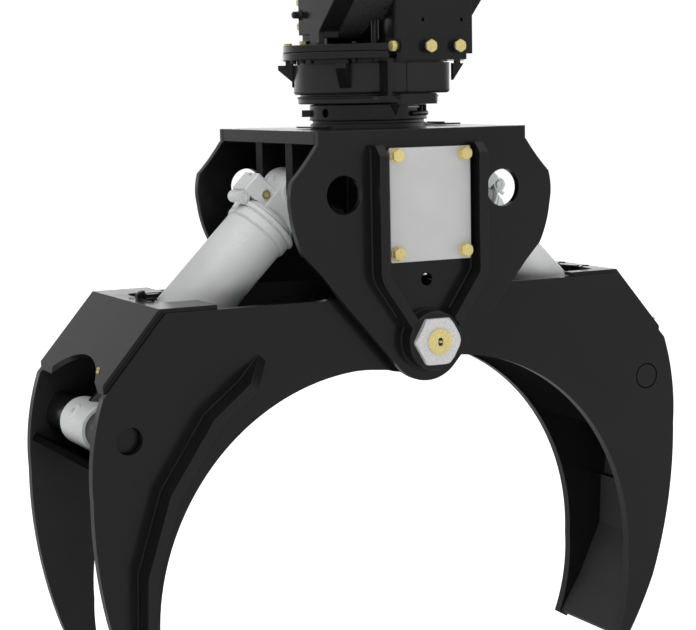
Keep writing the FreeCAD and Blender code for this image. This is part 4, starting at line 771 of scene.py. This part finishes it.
def cover_screws(s, y0):
    def f(bm):
        # two small screws of the grease line, standing at the edge of the cut-out
        for a in (0.0, 1.0):
            p = Vector((s * (829.5 + 5.0 * a), y0 - 3.0 - 9.0 * a, -23.4 - 5.8 * a))
            hexbolt(bm, p, (s * 0.757, 0, 0.654), 7, 3.4, 4.6, 1.0)
    return f


def guard_clips(s, W_):
    def f(bm):
        # spring clips that hold the hose guard, at the edge of the barrel slot
        for q in (-1, 1):
            y = q * (62.0 if s < 0 else 58.0)
            tube(bm, sample([(s * 640, y, 123), (s * 650, y, 128), (s * 668, y, 127)], 4), 2.2, 8)
    return f


def bush_seals(bm_s, ys):
    def f(bm):
        for y, q in ys:
            lathe(bm, (0, y, 0), (0, q, 0), [(51.5, 0.2), (59, 0.2), (59.5, 1.4), (56, 2.2), (52, 1.6)], 56, loop=True)
    return f


piece("left_arm_bush_seals", bush_seals(-1, ((-276.7, -1), (276.7, 1))), RUBBER, "left_arm")


# painted shade for the pin joints: near black, reflects almost nothing
JOINT_SHADE = m_paint("joint_painted_shade", (0.0012, 0.0012, 0.0012), (0.002, 0.002, 0.002), 0.7, 0.05, peel=0.05, ior=1.02)


def pin_joint_line(bm):
    # painted shade: a thin black ring that reflects almost nothing, in the joint round the flush pin ends, standing for
    # the shade in the gap
    for q in (-1, 1):
        lathe(bm, (796, q * 158.9, -187), (0, q, 0), [(33.2, -0.2), (36.2, -0.2), (36.2, 0.25), (35.2, 0.4), (34.2, 0.4), (33.2, 0.25)], 72, loop=True)


piece("right_rod_pin_joint_line", pin_joint_line, JOINT_SHADE, "right_arm")

# ------------------------------------------------------------------ cylinders
for side, s in (("left", -1), ("right", 1)):
    barrel, rod = side + "_barrel", side + "_rod"
    along = cyld(s, 1, 0)
    outw = cyld(s, 0, 1)

    def barrel_welds(bm, s=s, along=along):
        weld(bm, circle(cylp(s, 98.5, 0, 0), along, 76.5, 80), 3.0, loop=True)
        weld(bm, circle(cylp(s, 154.2, 0, 0), along, 85.6, 84), 2.2, loop=True)
        for y in (-43.4, 43.4):
            weld(bm, [cylp(s, 43.5, 51.4, y), cylp(s, 97.5, 51.4, y)], 2.6)

    piece(side + "_barrel_weld_beads", barrel_welds, WELD_G, barrel)

    def ring_plugs(bm, s=s):
        for q in (-1, 1):
            c = cylp(s, 71, 63.5, q * 47.9)
            lathe(bm, c, (0, q, 0), [(6.0, -1.0), (11.6, -1.0), (11.9, 0.6), (10.8, 2.0), (6.6, 2.0), (6.0, 0.8)], 36, loop=True)

    piece(side + "_port_plug_rings", ring_plugs, BRASS, barrel)

    def plug_core(bm, s=s):
        for q in (-1, 1):
            c = cylp(s, 71, 63.5, q * 47.0)
            lathe(bm, c, (0, q, 0), [(0, 2.6), (2.6, 2.6), (3.6, 1.9), (4.9, 1.7), (5.5, 0.9), (5.5, 0.1), (0, 0.1)], 28)

    piece(side + "_port_plug_cores", plug_core, ZINC, barrel)

    def unions(bm, s=s):
        # hex ends of the pipe union and the adapters under it
        c = cylp(s, 116, 103, -38.2)
        lathe(bm, c, (0, -1, 0), [(0, 0), (13.0, 0), (13.0, 2.8), (11.6, 3.8), (7.5, 3.8), (7.0, 3.0), (0, 3.0)], 6)
        tube(bm, circle(cylp(s, 116, 103, -29), (0, 1, 0), 17.2, 40), 0.8, 6, loop=True)
        c = cylp(s, 116, 103, 25.0)
        lathe(bm, c, (0, 1, 0), [(0, -0.2), (15.0, -0.2), (14.2, 1.6), (11.0, 2.6), (0, 2.6)], 36)
        nipple(bm, cylp(s, 8, 54.5, 0), cyld(s, 0, 1), 0.9)
        lathe(bm, cylp(s, 133.5, 99, -22), cyld(s, 1, 0), [(0, -2), (7.5, -2), (7.5, 5), (5.2, 8), (5.2, 17), (0, 17)], 6)

    piece(side + "_port_union_ends", unions, GREY, barrel)

    def gland_ring(bm, s=s, along=along):
        # wiper seal, spanner sockets and lock ring at the open end
        c = cylp(s, 655.2, 0, 0)
        lathe(bm, c, along, [(42.4, -0.5), (52, -0.5), (52, 1.2), (49, 3.4), (44.5, 3.6), (42.4, 1.4)], 56, loop=True)
        for k in range(4):
            t_ = math.radians(45 + 90 * k)
            d_ = outw * math.cos(t_) + Vector((0, 1, 0)) * math.sin(t_)
            lathe(bm, c + d_ * 66, along, [(5.5, 0.3), (4.8, 0.3), (4.6, -0.2), (0, -0.25)], 20)
        tube(bm, circle(cylp(s, 640.3, 0, 0), along, 84.05, 80), 0.8, 6, loop=True)

    piece(side + "_gland_wiper", gland_ring, RUBBER, barrel)

    def gland_collar(bm, s=s, along=along):
        pts = circle(cylp(s, 628, 0, 0), along, 84.1, 84)
        tube(bm, pts, 1.3, 8, loop=True)

    piece(side + "_barrel_end_bead", gland_collar, GREY, barrel)

    def eye_seals(bm, s=s):
        L0 = math.hypot(565.0, 563.0)
        for q in (-1, 1):
            c = cylp(s, L0, 0, q * 80.2)
            lathe(bm, c, (0, q, 0), [(47.8, -0.4), (50.5, -0.4), (50.8, 0.5), (50.2, 0.9), (48.2, 0.9), (47.8, 0.4)], 56, loop=True)

    piece(side + "_rod_eye_seals", eye_seals, RUBBER, rod)

    def eye_details(bm, s=s, along=along, outw=outw):
        L0 = math.hypot(565.0, 563.0)
        # machined boss on the outer side
        d_ = (outw * 0.996 + along * 0.087).normalized()
        c = cylp(s, L0, 0, 6) + d_ * 58.5
        lathe(bm, c, d_, [(0, 0), (21, 0), (20.6, 4.5), (19.0, 6.6), (16.0, 7.4), (6.2, 7.6), (5.6, 6.2), (0, 6.0)], 40)

    piece(side + "_rod_eye_boss", eye_details, GREY, rod)

    def eye_nipple(bm, s=s, along=along, outw=outw):
        L0 = math.hypot(565.0, 563.0)
        d_ = (outw * 0.996 + along * 0.087).normalized()
        c = cylp(s, L0, 0, 6) + d_ * 64.6
        lathe(bm, c, d_, [(0, 0), (5.2, 0), (5.2, 2.4), (4.2, 3.0), (2.0, 3.0), (1.6, 2.2), (0, 2.2)], 6)

    piece(side + "_rod_eye_plug", eye_nipple, BRIGHT, rod)
    piece(side + "_cover_small_screws", cover_screws(s, -146.0 if s < 0 else -126.0), ZINC, side + "_arm")
    piece(side + "_cover_guard_clips", guard_clips(s, 252.0 if s < 0 else 159.0), BLACK, side + "_arm")

# the necks of the rod eyes are masked with black paint, only the eyes are grey
for s_, side_ in ((-1, "left"), (1, "right")):
    eye_ = NODES[side_ + "_cylinder_rod_eye"]
    eye_.data.materials.append(BLACK)
    axis_ = cylp(s_, math.hypot(565.0, 563.0), 0, 0)
    for f_ in eye_.data.polygons:
        at_ = (eye_.matrix_world @ f_.center) * 1000.0
        if math.hypot(at_.x - axis_.x, at_.z + 1010.0 - axis_.z) > 62.6:
            f_.material_index = 1

# ------------------------------------------------------------------ camera
yaw, pitch, roll, foc = 0.4796679, 0.1266336, -0.0191846, 1784.09
d = Vector((math.sin(yaw) * math.cos(pitch), math.cos(yaw) * math.cos(pitch), -math.sin(pitch)))
r = Vector((math.cos(yaw), -math.sin(yaw), 0))
u = r.cross(d)
r2 = math.cos(roll) * r + math.sin(roll) * u
u2 = -math.sin(roll) * r + math.cos(roll) * u
cam_data = bpy.data.cameras.new("camera")
cam = bpy.data.objects.new("camera", cam_data)
scene.collection.objects.link(cam)
cam_data.sensor_fit = "HORIZONTAL"
cam_data.sensor_width = 36.0
cam_data.lens = foc / 696.0 * 36.0
cam_data.clip_end = 200
M = Matrix.Identity(4)
for i in range(3):
    M[i][0], M[i][1], M[i][2] = r2[i], u2[i], -d[i]
M.translation = Vector((-2.2575, -4.2016, 0.63865 - H))
cam.matrix_world = M
scene.camera = cam

# ------------------------------------------------------------------ light and stage
scene.view_settings.view_transform = "Standard"
world = bpy.data.worlds.new("studio")
scene.world = world
world.use_nodes = True
wt = world.node_tree
bg = wt.nodes["Background"]
bg.inputs["Strength"].default_value = 1.0
# even grey all round, with one soft bright band along the horizon behind the
# object, which only the level surfaces and edges pick up
wco = wt.nodes.new("ShaderNodeTexCoord")
wsep = wt.nodes.new("ShaderNodeSeparateXYZ")
wt.links.new(wco.outputs["Generated"], wsep.inputs[0])


def world_ramp(stops):
    m_ = wt.nodes.new("ShaderNodeMapRange")
    m_.inputs["From Min"].default_value = -1.0
    wt.links.new(wsep.outputs["Z"], m_.inputs["Value"])
    r_ = wt.nodes.new("ShaderNodeValToRGB")
    wt.links.new(m_.outputs["Result"], r_.inputs["Fac"])
    el = r_.color_ramp.elements
    for i, (pos, c) in enumerate(stops):
        e = el[i] if i < 2 else el.new(pos)
        e.position = pos
        e.color = (c, c, c, 1)
    return r_


back = world_ramp([(0.0, 0.36), (0.49, 0.38), (0.508, 1.9), (0.55, 1.5), (0.60, 0.40), (1.0, 0.55)])
front = world_ramp([(0.0, 0.36), (0.5, 0.385), (1.0, 0.55)])
wdot = wt.nodes.new("ShaderNodeVectorMath")
wdot.operation = "DOT_PRODUCT"
wdot.inputs[1].default_value = (0.75, 0.66, 0.0)
wt.links.new(wco.outputs["Generated"], wdot.inputs[0])
wfac = wt.nodes.new("ShaderNodeMapRange")
wfac.inputs["From Min"].default_value = 0.15
wfac.inputs["From Max"].default_value = 0.8
wt.links.new(wdot.outputs["Value"], wfac.inputs["Value"])
wmix = wt.nodes.new("ShaderNodeMix")
wmix.data_type = "RGBA"
wt.links.new(wfac.outputs["Result"], wmix.inputs[0])
wt.links.new(front.outputs["Color"], wmix.inputs[6])
wt.links.new(back.outputs["Color"], wmix.inputs[7])
wt.links.new(wmix.outputs[2], bg.inputs["Color"])


def area(name, loc, target, size, power, size_y=None):
    l = bpy.data.lights.new(name, "AREA")
    l.energy = power
    l.shape = "RECTANGLE"
    l.size = size
    l.size_y = size_y or size
    o = bpy.data.objects.new(name, l)
    scene.collection.objects.link(o)
    o.location = loc
    dirv = Vector(target) - Vector(loc)
    o.rotation_mode = "QUATERNION"
    o.rotation_quaternion = dirv.to_track_quat("-Z", "Y")
    return o


for lamp in (area("top_soft", (-2.4, -2.2, 3.4), (0, 0, -1.1), 3.5, 105), area("right_fill", (4.4, -2.6, -1.4), (0, 0, -0.9), 3.0, 112),
             area("low_fill", (-1.7, -4.4, -2.6), (-0.35, 0, -0.75), 3.0, 130)):
    lamp.visible_glossy = False


def stage_mesh(name, build, mat):
    me = bpy.data.meshes.new(name)
    bm = bmesh.new()
    build(bm)
    bm.to_mesh(me)
    bm.free()
    o = bpy.data.objects.new(name, me)
    scene.collection.objects.link(o)
    me.materials.append(mat)
    for p in me.polygons:
        p.use_smooth = True
    return o


t = Tree("pale_floor")
t.nt.nodes.remove(t.bsdf)
dif = t.add("ShaderNodeBsdfDiffuse")
dif.inputs["Color"].default_value = (0.8, 0.8, 0.8, 1)
emi = t.add("ShaderNodeEmission")
emi.inputs["Color"].default_value = (1, 1, 1, 1)
emi.inputs["Strength"].default_value = 0.80
adds = t.add("ShaderNodeAddShader")
t.link(dif, 0, adds, 0)
t.link(emi, 0, adds, 1)
t.link(adds, 0, t.out, "Surface")
floor_mat = t.mat
t = Tree("pale_surround")
t.nt.nodes.remove(t.bsdf)
emi = t.add("ShaderNodeEmission")
emi.inputs["Color"].default_value = (1, 1, 1, 1)
emi.inputs["Strength"].default_value = 1.02
t.link(emi, 0, t.out, "Surface")
dome_mat = t.mat


def disc(bm):
    bmesh.ops.create_circle(bm, cap_ends=True, segments=64, radius=24.0, matrix=Matrix.Translation((0, 0, -2.03)))


def dome(bm):
    bmesh.ops.create_uvsphere(bm, u_segments=48, v_segments=24, radius=23.0)
    bmesh.ops.reverse_faces(bm, faces=bm.faces[:])


floor = stage_mesh("floor", disc, floor_mat)
sur = stage_mesh("surround", dome, dome_mat)
floor.visible_glossy = False
sur.visible_diffuse = False
sur.visible_glossy = False
sur.visible_shadow = False
sur.visible_transmission = False

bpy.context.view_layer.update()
